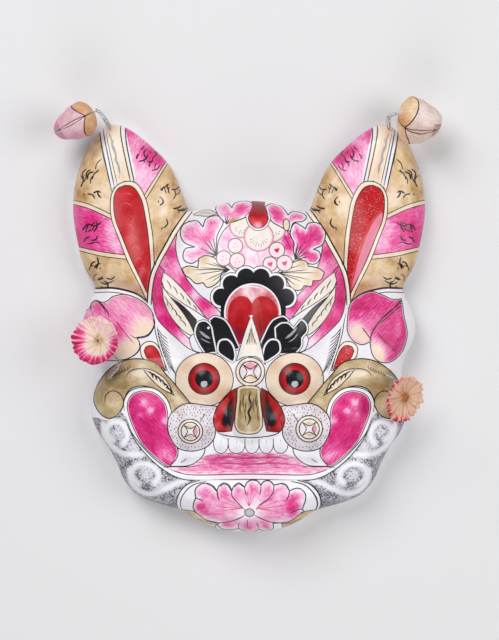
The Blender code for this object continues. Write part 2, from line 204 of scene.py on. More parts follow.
def open_curve(points, step=CURVE_STEP):
    """A smooth curve through the points, from the first to the last."""
    p = np.array(points, float)
    ends = np.vstack([2 * p[0] - p[1], p, 2 * p[-1] - p[-2]])
    parts = [curve_between(*ends[i : i + 4], step) for i in range(len(p) - 1)]
    return np.vstack([*parts, p[-1:]])


def closed_curve(points, step=CURVE_STEP):
    """A smooth ring through the points. Its first point isn't repeated."""
    p = np.array(points, float)
    n = len(p)
    return np.vstack([
        curve_between(p[i - 1], p[i], p[(i + 1) % n], p[(i + 2) % n], step) for i in range(n)
    ])


def evened(line, step):
    """The same line with its points spread evenly, about one step apart."""
    lengths = np.r_[0.0, np.cumsum(np.linalg.norm(np.diff(line, axis=0), axis=1))]
    places = np.linspace(0.0, lengths[-1], max(1, round(lengths[-1] / step)) + 1)
    return np.column_stack([np.interp(places, lengths, line[:, k]) for k in range(line.shape[1])])


def sideways(line, closed):
    """The direction to the left of a line at each of its points, longer at a corner."""
    if closed:
        ways = np.roll(line, -1, axis=0) - line
    else:
        ways = np.vstack([np.diff(line, axis=0), line[-1:] - line[-2:-1]])
    ways = ways / np.maximum(np.linalg.norm(ways, axis=1), 1e-9)[:, None]
    after = np.column_stack([-ways[:, 1], ways[:, 0]])
    before = np.roll(after, 1, axis=0)
    if not closed:
        before[0] = after[0]
    middle = before + after
    middle = middle / np.maximum(np.linalg.norm(middle, axis=1), 1e-9)[:, None]
    return middle / np.maximum((middle * after).sum(1), 0.6)[:, None]


def distance_to(points, line):
    """How far each point is from the line, worked out for a few thousand at a time."""
    a, way = line[:-1], np.diff(line, axis=0)
    lengths = np.maximum((way**2).sum(1), 1e-12)
    found = []
    for part in np.array_split(points, len(points) // 4000 + 1):
        along = part[:, None, :] - a[None, :, :]
        share = np.clip((along * way).sum(2) / lengths, 0.0, 1.0)
        found.append(np.sqrt(((along - share[..., None] * way) ** 2).sum(2)).min(1))
    return np.concatenate(found)


def inside(points, ring):
    """True for each point that the closed ring winds round."""
    x1, y1 = ring[:, 0], ring[:, 1]
    x2, y2 = np.roll(x1, -1), np.roll(y1, -1)
    rise = np.where(y2 == y1, 1.0, y2 - y1)
    found = []
    for part in np.array_split(points, len(points) // 4000 + 1):
        x, y = part[:, :1], part[:, 1:]
        right = x < (x2 - x1) * (y - y1) / rise + x1
        turns = np.where(right & (y1 <= y) & (y2 > y), 1, 0) - np.where(right & (y2 <= y) & (y1 > y), 1, 0)
        found.append(turns.sum(1) != 0)
    return np.concatenate(found)


def anticlockwise(ring):
    """The ring, turned over if it runs clockwise."""
    x, y = ring[:, 0], ring[:, 1]
    return ring if (x * np.roll(y, -1) - np.roll(x, -1) * y).sum() > 0 else ring[::-1]


OUTER_EDGE = np.vstack([
    open_curve(FOREHEAD_EDGE, 3.0)[:-1],
    open_curve(EAR_EDGE, 3.0)[:-1],
    open_curve(JAW_EDGE, 3.0),
])
SEAM = np.vstack([
    open_curve(SEAM_OVER_THE_CHEEK, 3.0)[:-1],
    open_curve(SEAM_UP_THE_BROW, 3.0),
])


def height(places):
    """Height of the moulded front above the floor at each (x, y), in millimetres."""
    p = np.array(places, float).reshape(-1, 2)
    p = np.column_stack([np.abs(p[:, 0]), p[:, 1]])
    x, y = p[:, 0], p[:, 1]
    up_the_crown = (y - CROWN_CENTRE_Y) / CROWN_HALF_HEIGHT
    crown = CROWN_RISE * np.sqrt(np.clip(1 - (x / CROWN_HALF_WIDTH) ** 2 - up_the_crown**2, 0, 1))
    # The higher of the crown and the ears' plateau, with a soft step between the two
    form = 0.5 * (crown + EAR_PLATEAU + np.hypot(crown - EAR_PLATEAU, PLATEAU_BLEND))
    form *= 1 - SEAM_VALLEY_DEPTH * np.exp(-((distance_to(p, SEAM) / SEAM_VALLEY_REACH) ** 2))
    for at_x, at_y, reach_across, reach_along, lean, rise, edge in SWELLINGS:
        turn = math.radians(lean)
        dx, dy = x - at_x, y - at_y
        across = (dx * math.cos(turn) - dy * math.sin(turn)) / reach_across
        along = (dx * math.sin(turn) + dy * math.cos(turn)) / reach_along
        form += rise * np.clip(1 - across**2 - along**2, 0, 1) ** edge
    inwards = np.clip(distance_to(p, OUTER_EDGE) / EDGE_ROUND, 0, 1)
    return RIM_HEIGHT + form * np.sqrt(1 - (1 - inwards) ** 2)


def out_of_the_front(places, step=0.3):
    """The direction straight out of the front at each place."""
    p = np.array(places, float)
    slope_x = (height(p + (step, 0)) - height(p - (step, 0))) / (2 * step)
    slope_y = (height(p + (0, step)) - height(p - (0, step))) / (2 * step)
    normal = np.column_stack([-slope_x, -slope_y, np.ones(len(p))])
    return normal / np.linalg.norm(normal, axis=1)[:, None]


print("height at the middle of the brow:", round(float(height(np.array([(0.0, 40.0)]))[0]), 1), "mm")

# %% [markdown]
# ## How the paint is laid out
#
# The painter fills flat shapes and then goes round them with a fine brush. An image texture
# would carry that, but here each painted shape is a part of the mesh itself: its outline is cut
# into the surface, and the faces inside it wear that pigment. The edges then stay crisp at any
# distance. Shapes are listed in the order in which they are painted, and a later one covers an
# earlier one. An outlined shape is an ink shape with a slightly smaller one on top of it. Each
# shape also carries a wash, which says how strongly it is painted from place to place.

# %% Drawing tools
LINE = 0.85
TAPER = 4.0
FACE_PAINT = []
EAR_PAINT = {-1: [], 1: []}


def at(points):
    """Places in squares of the drawing, turned into millimetres on the mask."""
    p = np.array(points, float)
    return np.column_stack([(p[:, 0] - MIDDLE[0]) * SQUARE, (MIDDLE[1] - p[:, 1]) * SQUARE])


def ring_of(*runs):
    """A closed ring in millimetres, smooth along each run and sharp where two runs meet."""
    if len(runs) == 1:
        return anticlockwise(closed_curve(at(runs[0])))
    start = runs[-1][-1]
    parts = []
    for run in runs:
        parts.append(open_curve(at([start, *run]))[:-1])
        start = run[-1]
    return anticlockwise(np.vstack(parts))


def both_halves(points):
    """The points as far as the middle of the face, and on to their mirror images."""
    return [*points, *((round(2 * MIDDLE[0] - x, 1), y) for x, y in points[-2::-1])]


def disc(x, y, radius, radius_y=None):
    """A round or oval ring."""
    turns = np.linspace(0, 2 * math.pi, max(10, round(radius * 3)), endpoint=False)
    return at(np.column_stack([
        x + radius * np.cos(turns), y - (radius_y or radius) * np.sin(turns)
    ]))


def wash(base=0.5, *spots, edge=0.0, grain=35.0, lines=()):
    """How strongly a shape is painted, from 0 for pale to 1 for deep.

    Each spot is (x, y, radius, change). The edge value pales the paint towards the outline.
    The grain is the lie of the brush marks in degrees, or the point that they spread from.
    Lines are curves that the paint keeps away from.
    """
    return {"base": base, "spots": spots, "edge": edge, "grain": grain, "lines": lines}


PLAIN = wash(0.4)


def mirrored(how):
    """The same wash on the other half of the face."""
    turned = dict(how)
    turned["spots"] = [(2 * MIDDLE[0] - x, y, radius, change) for x, y, radius, change in how["spots"]]
    grain = how["grain"]
    turned["grain"] = -grain if isinstance(grain, float) else (2 * MIDDLE[0] - grain[0], grain[1])
    turned["lines"] = [line * (-1, 1) for line in how["lines"]]
    return turned


def lay(pigment, ring, sides=2, how=PLAIN, sheet=FACE_PAINT):
    """Paints a ring in one pigment. With two sides, its mirror image is painted too."""
    sheet.append((pigment, ring, how))
    if sides == 2:
        sheet.append((pigment, anticlockwise(ring * (-1, 1)), mirrored(how)))


def shape(pigment, ring, line=LINE, rim=0.0, rim_pigment="cream", sides=2, how=PLAIN,
          sheet=FACE_PAINT):
    """An inked outline, a bare margin inside it if there is a rim, and the fill."""
    left = sideways(ring, True)
    if line:
        lay("ink", ring - left * line / 2 * SQUARE, sides, sheet=sheet)
    if rim:
        lay(rim_pigment, ring + left * line / 2 * SQUARE, sides, sheet=sheet)
    lay(pigment, ring + left * (line / 2 + rim) * SQUARE, sides, how, sheet)


def stroke(points, width=LINE, ends=(0.35, 0.35), pigment="ink", sides=2, how=PLAIN,
           sheet=FACE_PAINT):
    """A brush stroke along a curve. The ends say how wide it is there, as shares of its width."""
    line = open_curve(at(points)) if len(points) > 2 else evened(at(points), 3 * CURVE_STEP)
    share = np.linspace(0.0, 1.0, len(line))
    swell = np.minimum(1.0, np.minimum(ends[0] + share * TAPER, ends[1] + (1 - share) * TAPER))
    half = sideways(line, False) * (swell * width / 2 * SQUARE)[:, None]
    lay(pigment, anticlockwise(np.vstack([line - half, (line + half)[::-1]])), sides, how, sheet)


def tuft(x, y, wide, tall, lean, count, sides, sheet):
    """Loose hairs flicked over an oval place, most of them near the lean, in degrees."""
    random = np.random.default_rng(round(x * 7 + y * 3))
    for k in range(count):
        start_x = x + ((k + 0.5) / count - 0.5) * wide + random.uniform(-1.5, 1.5)
        start_y = y + random.uniform(-0.5, 0.5) * tall
        angle = math.radians(lean + random.normal(0, 24))
        length = random.uniform(6, 13) if random.random() < 0.8 else random.uniform(2, 4)
        bend = random.choice((-1, 1)) * random.uniform(0.1, 0.28)
        tip = (start_x + length * math.cos(angle), start_y - length * math.sin(angle))
        middle = ((start_x + tip[0]) / 2 + bend * (tip[1] - start_y),
                  (start_y + tip[1]) / 2 - bend * (tip[0] - start_x))
        width = random.uniform(1.0, 1.8)
        stroke([(start_x, start_y), middle, tip], width, (0.7, 0.1), sides=sides, sheet=sheet)


def both_ears(paint, *args, **named):
    """The same paint on the left ear, and mirrored on the right one."""
    for side in (-1, 1):
        before = len(EAR_PAINT[side])
        paint(*args, sides=1, sheet=EAR_PAINT[side], **named)
        if side == 1:
            EAR_PAINT[1][before:] = [
                (pigment, anticlockwise(ring * (-1, 1)), mirrored(how))
                for pigment, ring, how in EAR_PAINT[1][before:]
            ]


print("one square is", SQUARE, "mm")

# %% [markdown]
# ## The ears
#
# Each ear is divided by ruled double lines into panels of ochre and magenta wash. Down its inner
# side runs a long red teardrop in a cream border. Fine hairs are flicked over the ochre.

# %% Paint the ears
both_ears(lay, "cream", ring_of([(60, 110), (200, 110)], [(200, 320)], [(60, 320)], [(60, 110)]))
both_ears(shape, "ochre", ring_of(
    [(98.4, 126), (88, 140), (76, 163), (68, 185), (66, 197.6)],
    [(90, 204.6), (118, 217.8)], [(118, 199.3), (114, 187.9)], [(104, 160), (98.4, 126)]),
    how=wash(0.36, (79, 192, 9, 0.25), (106, 200, 12, -0.3), (98, 150, 10, -0.1), (84, 160, 8, 0.15),
             grain=60.0))
both_ears(shape, "magenta", ring_of(
    [(64, 201.6), (90, 209), (118, 222.4)], [(122, 232.4), (130, 255.6)],
    [(100, 251.5), (66, 243.6)], [(62, 226), (64, 201.6)]),
    how=wash(0.7, (74, 238, 10, 0.3), (92, 222, 9, 0.2), (112, 226, 9, -0.4), (116, 244, 9, -0.35),
             grain=-20.0))
both_ears(shape, "ochre", ring_of(
    [(66, 246.8), (76, 268), (90, 296)], [(112, 294), (124, 297.5), (147.6, 308.5)],
    [(146, 288), (132.0, 260)], [(100, 255.8), (66, 246.8)]),
    how=wash(0.36, (84, 276, 10, 0.25), (118, 284, 12, -0.25), (104, 262, 8, 0.15), grain=-50.0))
both_ears(shape, "magenta", ring_of(
    [(124.2, 116), (150, 132), (169, 155)], [(144.0, 195.4)],
    [(138, 192.4), (133.9, 188.4)], [(127.4, 152), (124.2, 116)]),
    how=wash(0.36, (152, 150, 13, 0.5), (128, 132, 8, 0.4), (160, 158, 8, 0.3), (138, 176, 9, -0.1),
             grain=70.0))
both_ears(shape, "ochre", ring_of(
    [(169.5, 158.5), (182, 166), (198, 188), (204, 210)], [(178, 229), (154.6, 263)],
    [(149.5, 237.6), (143.2, 203.6)], [(169.5, 158.5)]),
    how=wash(0.36, (176, 178, 9, 0.25), (154, 206, 12, -0.3), (166, 238, 10, 0.12), (184, 204, 9, 0.1),
             grain=40.0))
for line in ([(66, 199.4), (90, 206.4), (111.5, 216.8)], [(66, 245.4), (100, 253.6), (124.6, 256.2)]):
    both_ears(stroke, line, 1.9, (1, 1), "cream")
both_ears(lay, "white", ring_of(
    [(98.6, 126), (106, 114), (120, 112), (124.6, 126)], [(134.9, 183.4), (110.6, 187.9)], [(98.6, 126)]))
both_ears(lay, "cream", ring_of(
    [(103.4, 122), (119.6, 120)], [(131.6, 183), (115.2, 185)], [(103.4, 122)]),
    how=wash(0.1, (110, 128, 8, 0.35), (124, 172, 10, 0.2), grain=80.0))
lay("peach", ring_of(
    [(385, 126), (391.5, 133), (386.5, 152), (379.5, 182)], [(370, 181), (375, 160), (385, 126)]),
    1, wash(0.62, edge=0.35, grain=-78.0), EAR_PAINT[1])
for line, width in (
    ([(97.6, 128), (111.9, 192)], 1.2), ([(101.6, 126), (114.6, 188)], 1.1),
    ([(105.8, 134), (117.6, 186)], 0.7), ([(119.3, 118), (121.4, 140), (131.4, 186)], 1.1),
    ([(124.1, 118), (126.4, 144), (135.9, 190)], 1.2),
):
    both_ears(stroke, line, width)
for line, width in (
    ([(108.4, 132), (111.4, 140), (112.4, 150)], 1.6), ([(110.4, 143), (114.6, 150), (116.6, 162)], 2.0),
    ([(114.0, 158), (118.2, 165), (119.8, 175)], 2.0), ([(113.4, 137), (112.4, 147), (115.6, 155)], 1.0),
    ([(117.4, 168), (119.8, 172), (119.0, 179)], 1.2),
):
    both_ears(stroke, line, width, (0.1, 0.1), "cloud_grey")
for x, y in ((107, 126), (112, 125), (122, 176)):
    both_ears(lay, "ochre", disc(x, y, 2.6, 5.0), how=wash(0.3, edge=0.3))
teardrop_border = ring_of(
    [(124.4, 181.4), (116, 186.4), (110.8, 198), (111.5, 218.4), (119.4, 240.1), (127.4, 260.5),
     (139.4, 284.6), (149, 306)],
    [(152.7, 285), (154, 263.1), (153, 237.6), (149.9, 218.4), (146.7, 201.8),
     (139.7, 187), (132.6, 181.6), (124.4, 181.4)])
both_ears(shape, "cream", teardrop_border, line=0.9, how=wash(0.15))
teardrop = ring_of(
    [(124.8, 185.4), (117.6, 189), (113.7, 199), (115.1, 218.4), (122.8, 238.8), (131.7, 260.5),
     (141.1, 280.2), (147.8, 294.7)],
    [(150.5, 269.4), (149.2, 243.9), (146.4, 222.2), (142.1, 201.8), (136.0, 190),
     (130.3, 185.8), (124.8, 185.4)])
# Painted reflections: the pale spots in each red teardrop's wash stand in for glossy reflections on the
# lacquer.
for side, red, how in (
    (-1, "vermilion", wash(0.6, (122, 196, 7, -0.2), (126, 222, 6, -0.2), (131, 240, 5, -0.25), grain=50.0)),
    (1, "glittered_red", wash(
        0.7, (366, 222, 5, -0.2), (360, 240, 5, -0.2), grain=65.0)),
):
    shape(red, anticlockwise(teardrop * (-side, 1)), 0.9, sides=1, how=how, sheet=EAR_PAINT[side])
# Painted reflection: a pale pink strip along the outer edge of the right teardrop.
for reach, pigment, how in (
    (3.4, "vermilion", wash(0.32, grain=65.0)), (0.4, "rose_rim", wash(0.75, (378, 222, 5, 0.2), grain=65.0)),
):
    lay(pigment, ring_of(
        [(381.6, 213 - reach), (382.2, 219.4), (374.8, 238.4), (365.9, 260.2), (356.6, 280),
         (352 - reach / 2, 288 + reach)],
        [(357.6 - reach, 264), (365.4 - reach, 240), (374 - reach, 222), (381.6, 213 - reach)]), 1, how,
        EAR_PAINT[1])
# Painted reflections: pale red flicks across the left teardrop.
for line in ([(120, 206), (126, 203), (132, 206)], [(123, 226), (129, 224), (133, 229)],
             [(126, 238), (133, 236), (139, 241)],
             [(131, 250), (136, 246), (141, 251)], [(134, 262), (139, 258), (144, 262)],
             [(127, 214), (133, 218), (131, 224)],
             [(138, 270), (143, 268), (146, 273)], [(121, 196), (127, 193), (134, 196)]):
    stroke(line, 1.0, (0.1, 0.1), "vermilion", 1, wash(0.32, grain=20.0), EAR_PAINT[-1])
for x, y, wide, tall, lean, count in (
    (86, 180, 20, 14, 75, 9), (90, 192, 16, 4, -15, 4), (95, 172, 4, 6, 80, 2),
    (168, 196, 16, 14, 80, 8), (160, 206, 8, 8, 100, 3), (176, 210, 6, 6, 30, 3),
    (146, 156, 20, 14, 65, 10), (152, 168, 8, 6, 70, 3),
    (87, 236, 12, 14, 55, 7), (92, 226, 6, 4, 30, 2), (90, 243, 8, 3, -30, 3),
    (94, 266, 12, 10, 60, 6), (100, 278, 14, 8, 20, 6), (104, 284, 8, 4, -60, 3), (163, 228, 6, 4, 60, 2),
):
    both_ears(tuft, x, y, wide, tall, lean, count)
SEAM_ON_THE_LEFT = [
    (90, 288.6), (94, 289), (112.5, 288.8), (128.4, 291.9), (138.6, 296), (147.4, 302.6)]
BROW_ON_THE_LEFT = [
    (148.2, 303), (149.2, 289.5), (151.8, 274.5), (157.4, 260.9), (166.4, 244.5), (174.7, 229.8), (189, 209)]


def shifted(points, across, down):
    """The same points, moved across and down the drawing."""
    return [(x + across, y + down) for x, y in points]


both_ears(stroke, shifted(SEAM_ON_THE_LEFT, 0.2, -1.0), 1.7, (1, 1))
both_ears(stroke, shifted(BROW_ON_THE_LEFT, -1.1, -0.6), 1.3, (1, 1))
print("layers of paint on each ear:", len(EAR_PAINT[-1]))

# %% [markdown]
# ## The forehead
#
# The forehead carries a bouquet: two large peonies, two smaller blooms, a red vase in a white
# collar, round berries and cream leaves. Each petal is magenta inside a white margin, with a
# dark fan of strokes at its root. Curved bands and feathers frame it at the temples.

# %% Paint the bands and feathers
shape("magenta", ring_of(
    [(178.6, 224.7), (175.8, 243.1), (177.9, 258.6), (183.5, 272.6), (190.5, 283.8),
     (200.3, 295.1), (211.5, 303.5), (229, 321.3)],
    [(207.3, 318.8), (194.7, 306.3), (182.1, 290.8), (172.2, 281), (163.8, 271.2), (155.2, 265)],
    [(163.8, 254.6), (172.5, 239.9), (178.6, 224.7)]),
    how=wash(0.55, (170, 252, 8, 0.2), (187, 281, 6, 0.4), (206, 304, 6, 0.4), (176, 240, 8, -0.2),
             (178, 268, 6, -0.2), (197, 294, 5, -0.3), (221, 315, 8, -0.4), grain=-48.0))
shape("magenta", ring_of(
    [(156.8, 263.4), (152.4, 275.4), (151.7, 289.4), (153.8, 306.3), (158.0, 318.9), (166.4, 328.7),
     (177.7, 338.8), (188, 347.5), (199, 353)],
    [(201, 347), (191, 339.5), (181, 330), (173.4, 318), (168.6, 305), (164.2, 293), (162, 281),
     (164.8, 271)],
    [(156.8, 263.4)]), how=wash(
        0.8, (186, 342, 12, -0.62), (198, 350, 10, -0.4), (160, 272, 6, -0.15), (158, 300, 7, 0.15),
        (170, 322, 8, 0.2), grain=-65.0))
shape("feather", ring_of(
    [(163.8, 271.9), (175, 281), (190, 297), (207.3, 318.9)],
    [(195, 310.5), (183.5, 303.5), (166.6, 290.8), (161.7, 281)], [(163.8, 271.9)]),
    how=wash(0.16, (172, 285, 6, 0.2), grain=-48.0))
lay("ink", ring_of(
    [(170.5, 296.2), (184, 306), (197.5, 319.9)], [(194.2, 332.5)], [(184, 315), (170.5, 296.2)]))
shape("feather", ring_of(
    [(162.4, 286), (171, 297.5), (181, 309.5), (190, 323), (196.6, 337.5)],
    [(184, 331), (171, 316), (164, 301)], [(162.4, 286)]),
    how=wash(0.25, (170, 305, 6, 0.3), grain=-55.0))
for k in range(5):
    stroke([(167 + 6.6 * k, 280 + 6.2 * k), (170.5 + 6.4 * k, 285.5 + 5.6 * k),
            (171.5 + 6.5 * k, 289.5 + 5.4 * k)], 1.0, (0.2, 0.1))
    stroke([(165 + 4.2 * k, 296 + 6 * k), (168.5 + 4.3 * k, 302 + 5.4 * k),
            (167.5 + 4.6 * k, 306 + 5.2 * k)], 1.0, (0.2, 0.1))

stroke(shifted(BROW_ON_THE_LEFT, 1.5, 0.9), 3.0, (1, 1), "cream", how=wash(0.0))
stroke(shifted(BROW_ON_THE_LEFT, 3.1, 1.8), 1.1, (1, 1))

print("layers of paint so far:", len(FACE_PAINT))

# %% [markdown]
# ## The middle of the forehead
#
# A tall petal, almost bare at its heart, stands behind everything. Three round fruits lean on
# it, each one a pale disc with a few flicks of ink for its shading.

# %% Paint the tall petal and the fruits
shape("magenta", ring_of(
    [(217.6, 257), (218.3, 243), (224, 231), (234, 222.5), (248, 218), (266, 218.6), (280, 225), (289.5, 235),
     (294.6, 247), (294.8, 260)], [(256, 282), (217.6, 257)]), sides=1,
    how=wash(0.07, (226, 240, 11, 0.3), (238, 254, 8, 0.1), (290, 246, 8, 0.75), (286, 236, 6, 0.5),
             (262, 258, 8, 0.12), grain=(256, 280)))
stroke([(281.5, 230.4), (287, 242), (291.6, 252)], 0.8, (0.3, 0.3), "wine", 1)
for x, y, radius in ((241.6, 226.6, 10.4), (272.4, 229.4, 11.4), (258.6, 237.4, 13.0)):
    lay("soft_ink", disc(x, y, radius + 1.9), 1, wash(0.0))
    lay("rose_rim", disc(x, y, radius + 1.4), 1, wash(0.0))
    lay("pearl_blush", disc(x, y, radius + 0.2), 1, wash(0.0))
    lay("feather", disc(x, y, radius - 1.4), 1, wash(0.05, grain=88.0))
    for k in range(9):
        turn = math.radians(200 + 17.5 * k)
        near, far = radius * (0.35 + 0.1 * (k % 3)), radius * (0.72 + 0.08 * (k % 2))
        stroke([(x + near * math.cos(turn), y - near * math.sin(turn)),
                (x + far * math.cos(turn), y - far * math.sin(turn))], 0.7, (0.2, 0.8), "soft_ink", 1)

print("layers of paint so far:", len(FACE_PAINT))

# %% [markdown]
# ## The blooms and the vase
#
# Each bloom is one ring with sharp notches between its petals. The wash grows paler towards the
# ring, and a fan of fine strokes springs from the root of the bloom.

# %% Paint the blooms and the vase
PETAL_RIM = 1.2


def fan(root, tips, width=1.0, pigment="ink"):
    """A fan of fine strokes that starts at a root and thins towards the tips."""
    for tip in tips:
        stroke([root, tip], width, (1.0, 0.1), pigment, 1)


big_left = ring_of(
    [(188.6, 221.6), (197.2, 221.1), (203.2, 227.3)],
    [(205.8, 219.7), (212.5, 216.3), (219.2, 216.8), (223.3, 223), (219.2, 232.1), (216.8, 239.7),
     (217.3, 256)],
    [(208, 258), (198.2, 260.8), (192.4, 263.7), (185.7, 261.7), (183.3, 256), (186, 249),
     (195.3, 247.4)],
    [(185.7, 243.6), (181.4, 237.8), (180.5, 231), (183, 225), (188.6, 221.6)])
shape("magenta", big_left, 1.1, PETAL_RIM, "white", 1, wash(
    0.5, (208, 236, 9, 0.1), (212, 224, 6, 0.1), (214, 252, 7, -0.2), (190, 257, 6, -0.12), edge=0.34,
    grain=(216, 254)))
fan((217, 256), [(203, 240), (208, 238), (213, 237), (199, 248), (204, 253), (206, 243)])
big_right = ring_of(
    [(291, 228.3), (295.5, 223.4), (305.3, 229)],
    [(308, 223.8), (315.8, 222.4), (323.5, 226.8), (325.4, 235), (322.5, 244.5), (313, 249.8)],
    [(318.5, 251.6), (320.2, 257.5), (315.8, 263.7), (309.2, 264.2), (303.4, 260.8), (294.8, 258.9)],
    [(293.2, 250), (293.8, 243.6), (290, 235), (291, 228.3)])
shape("magenta", big_right, 1.1, PETAL_RIM, "white", 1, wash(
    0.78, (299, 230, 6, -0.15), (310, 256, 6, 0.1), (296, 256, 5, -0.3), edge=0.42, grain=(295, 257)))
fan((294.6, 260), [(298, 243), (302, 244), (306, 247), (308, 252), (309, 257), (296, 247)])
small_left = ring_of(
    [(215.4, 209.1), (217, 203.5), (222.1, 201.6), (228, 203), (231.7, 207.8)],
    [(234.5, 202.9), (241.2, 200.4), (249, 201), (254, 205.6), (252.6, 211.6), (247.5, 216.6),
     (239, 220.6), (226.9, 224.4)],
    [(221.5, 219.5), (217.8, 214.6), (215.4, 209.1)])
shape("magenta", small_left, 1.1, PETAL_RIM, "white", 1, wash(
    0.64, (228, 220, 6, -0.4), (243, 206, 6, 0.15), (222, 206, 5, -0.1), edge=0.36, grain=(227, 224)))
fan((226.6, 225), [(225, 215), (228, 215), (231, 217)])
fan((228, 224), [(235, 216), (239, 216), (241, 218)], 1.2, "ochre_line")
small_right = ring_of(
    [(265, 206.8), (272, 203), (281.4, 205.8), (288.1, 215)],
    [(292.5, 211.4), (300.5, 211.8), (306.6, 216.4), (302.5, 221.5), (293.5, 223.2), (290, 232.1)],
    [(279.5, 226.8), (270.6, 220.6), (265, 206.8)])
shape("magenta", small_right, 1.1, PETAL_RIM, "white", 1, wash(
    0.78, (287, 224, 5, -0.4), (276, 210, 7, 0.1), edge=0.42, grain=(288, 228)))
shape("cream", disc(286.2, 225.2, 3.3, 6.2), 0.9, sides=1)
shape("feather", ring_of(
    [(193, 214.6), (200, 210.4), (210, 209.6), (217, 214)], [(207, 216.4), (193, 214.6)]), 0.8, sides=1)
stroke([(199, 213), (206, 212.4), (213, 213.6)], 1.2, (0.2, 0.2), "cloud_grey", 1)

shape("white", ring_of([(245.6, 216), (248, 224.6), (253, 229.8), (258.2, 231.2), (263.6, 229.8),
                                   (268.6, 224.6), (270.8, 216)], [(258, 208), (245.6, 216)]), 0.6, sides=1)
shape("vermilion", ring_of(
    [(251.4, 199.6), (252, 207), (249.8, 213), (248.2, 218.6), (250.2, 224.2), (254, 227.8), (258.2, 228.8),
     (262.5, 227.8), (266.4, 224.2), (268.3, 218.6), (266.6, 213), (264.6, 207), (265.2, 199.6)],
    [(258, 197.6), (251.4, 199.6)]), 0.6, sides=1, how=wash(
        0.74, (258, 203, 8, 0.24), (258, 227, 6, -0.8), (251, 221, 4, -0.3), (266, 221, 4, -0.3), grain=88.0))
for x in (252.6, 255.6, 258.4, 261.2, 264):
    stroke([(x * 0.6 + 103.3, 202), (x, 217)], 0.7, (0.4, 0.1), "dark_red", 1)

print("layers of paint so far:", len(FACE_PAINT))

# %% [markdown]
# ## The leaves and the berries
#
# Two cream leaves lie under the blooms, bare at the root and deeper at the tips. The berries
# are pale discs with a blush, three specks and now and then a heart.

# %% Paint the leaves and the berries
left_leaf = ring_of(
    [(199.1, 258.9), (205.8, 256), (213.5, 257.9), (220, 263), (228.6, 270)],
    [(222.1, 273.2), (220.2, 279.9), (214.4, 285.7), (207.7, 287.6), (203.4, 283)],
    [(196.3, 283.8), (190.4, 278.6)], [(185.6, 275.4), (182.4, 268.9)],
    [(188.6, 266.4), (198.2, 268)], [(199.1, 258.9)])
shape("cream", left_leaf, 1.1, 0.0, "cream", 1, wash(
    0.0, (188, 271, 6, 0.6), (204, 259, 6, 0.7), (197, 280, 4, 0.4), (212, 284, 4, 0.3), grain=(229, 270)))
fan((230, 270), [(192, 270), (196, 275), (205, 281), (212, 282), (204, 263), (212, 263), (200, 268)], 0.8)
right_leaf = ring_of(
    [(292.9, 262.7), (299.6, 260.4), (305.8, 261.7), (308.2, 266.5)], [(317.8, 268.4), (324, 272.5)],
    [(320.6, 280), (312.6, 281)], [(311, 286.4), (303.8, 286)],
    [(300.5, 290), (294.8, 290.4), (289.1, 285.7), (286, 280), (280.6, 273.6)],
    [(287, 267), (292.9, 262.7)])
shape("cream", right_leaf, 1.1, 0.0, "cream", 1, wash(
    0.0, (302, 264, 6, 0.7), (317, 274, 6, 0.8), (308, 282, 5, 0.4), (295, 286, 4, 0.3), grain=(279, 273)))
fan((278, 273.4), [(301, 265), (308, 270), (316, 273), (309, 280), (302, 282), (296, 286), (291, 281)], 0.8)
for x, y, radius, dot in (
    (224, 258.9, 7.6, ""), (235.5, 246.4, 7.4, ""), (237.4, 261.3, 7.6, ""),
    (276.6, 250.7, 7.9, "vermilion"), (269.9, 264.6, 7.2, "rose"), (284.3, 263.7, 7.9, "rose"),
):
    lay("soft_ink", disc(x, y, radius + 0.4), 1, wash(0.3))
    lay("pearl_blush", disc(x, y, radius - 0.5), 1, wash(-0.05, (x, y + 4, 3, 0.15)))
    for turn in (20, 150, 265):
        angle = math.radians(turn + x)
        lay("rose", disc(x + 2.2 * math.cos(angle), y + 2.2 * math.sin(angle), 0.6), 1, wash(0.0))
    if dot:
        lay(dot, ring_of([(x, y - 1.2), (x + 2.6, y - 2.2), (x + 1.6, y + 1.6)],
                         [(x - 1, y + 2.2), (x - 2.4, y - 1.4), (x, y - 1.2)]), 1, wash(0.5))
print("layers of paint so far:", len(FACE_PAINT))

# %% [markdown]
# ## The flaming pearl and the horn
#
# Below the bouquet a row of black cloud lobes shelters a red pearl. A pale horn rises into it
# from the bridge of the nose, and black petals with white edges spread to either side.

# %% Paint the pearl, the horn and the black petals
SCALLOPS = ((221.8, 297.4), (231.6, 284.4), (246.0, 277.6), (260.8, 277.8), (275.2, 284.4), (285.4, 297.4))
for radius, pigment in ((11.7, "ink"), (10.9, "white"), (8.7, "black")):
    for x, y in SCALLOPS:
        lay(pigment, disc(x, y, radius), 1, wash(0.15))
lay("black", ring_of(
    [(221, 303), (229.6, 289.6), (240, 281.4), (253, 278.4), (266, 281.4), (277, 289.6), (285, 303),
     (285, 322)],
    [(280, 334), (226, 334)], [(221, 322), (221, 303)]), 1)
lay("white", disc(252.5, 313.3, 28.2, 29.6), 1, wash(0.1))
# Painted highlight: the pearl's wash is paler across its top.
lay("pearl_blush", disc(252.5, 313.3, 26.7, 28.1), 1, wash(
    0.55, (246, 292, 5, -0.5), (262, 291, 4, -0.4), (252, 298, 5, -0.3), (240, 300, 6, 0.4),
    (268, 300, 6, 0.4), grain=(252, 314)))
lay("vermilion", ring_of(
    [(239.8, 296.2), (247, 297.4), (252, 303.6)], [(256, 298.2), (263, 296.4), (271, 299.6), (276.6, 306.3),
     (278, 314), (275.7, 324), (269, 335.2), (261.3, 342.8)],
    [(250, 345.6), (239.3, 343.7)],
    [(231.6, 335.1), (228.2, 323.6), (228.3, 310.2), (232, 301), (239.8, 296.2)]), 1, wash(
        0.66, (238, 306, 6, -0.12), (266, 304, 6, -0.12), (240, 334, 7, 0.25), (266, 330, 7, 0.25),
        (272, 318, 5, 0.15), grain=85.0))
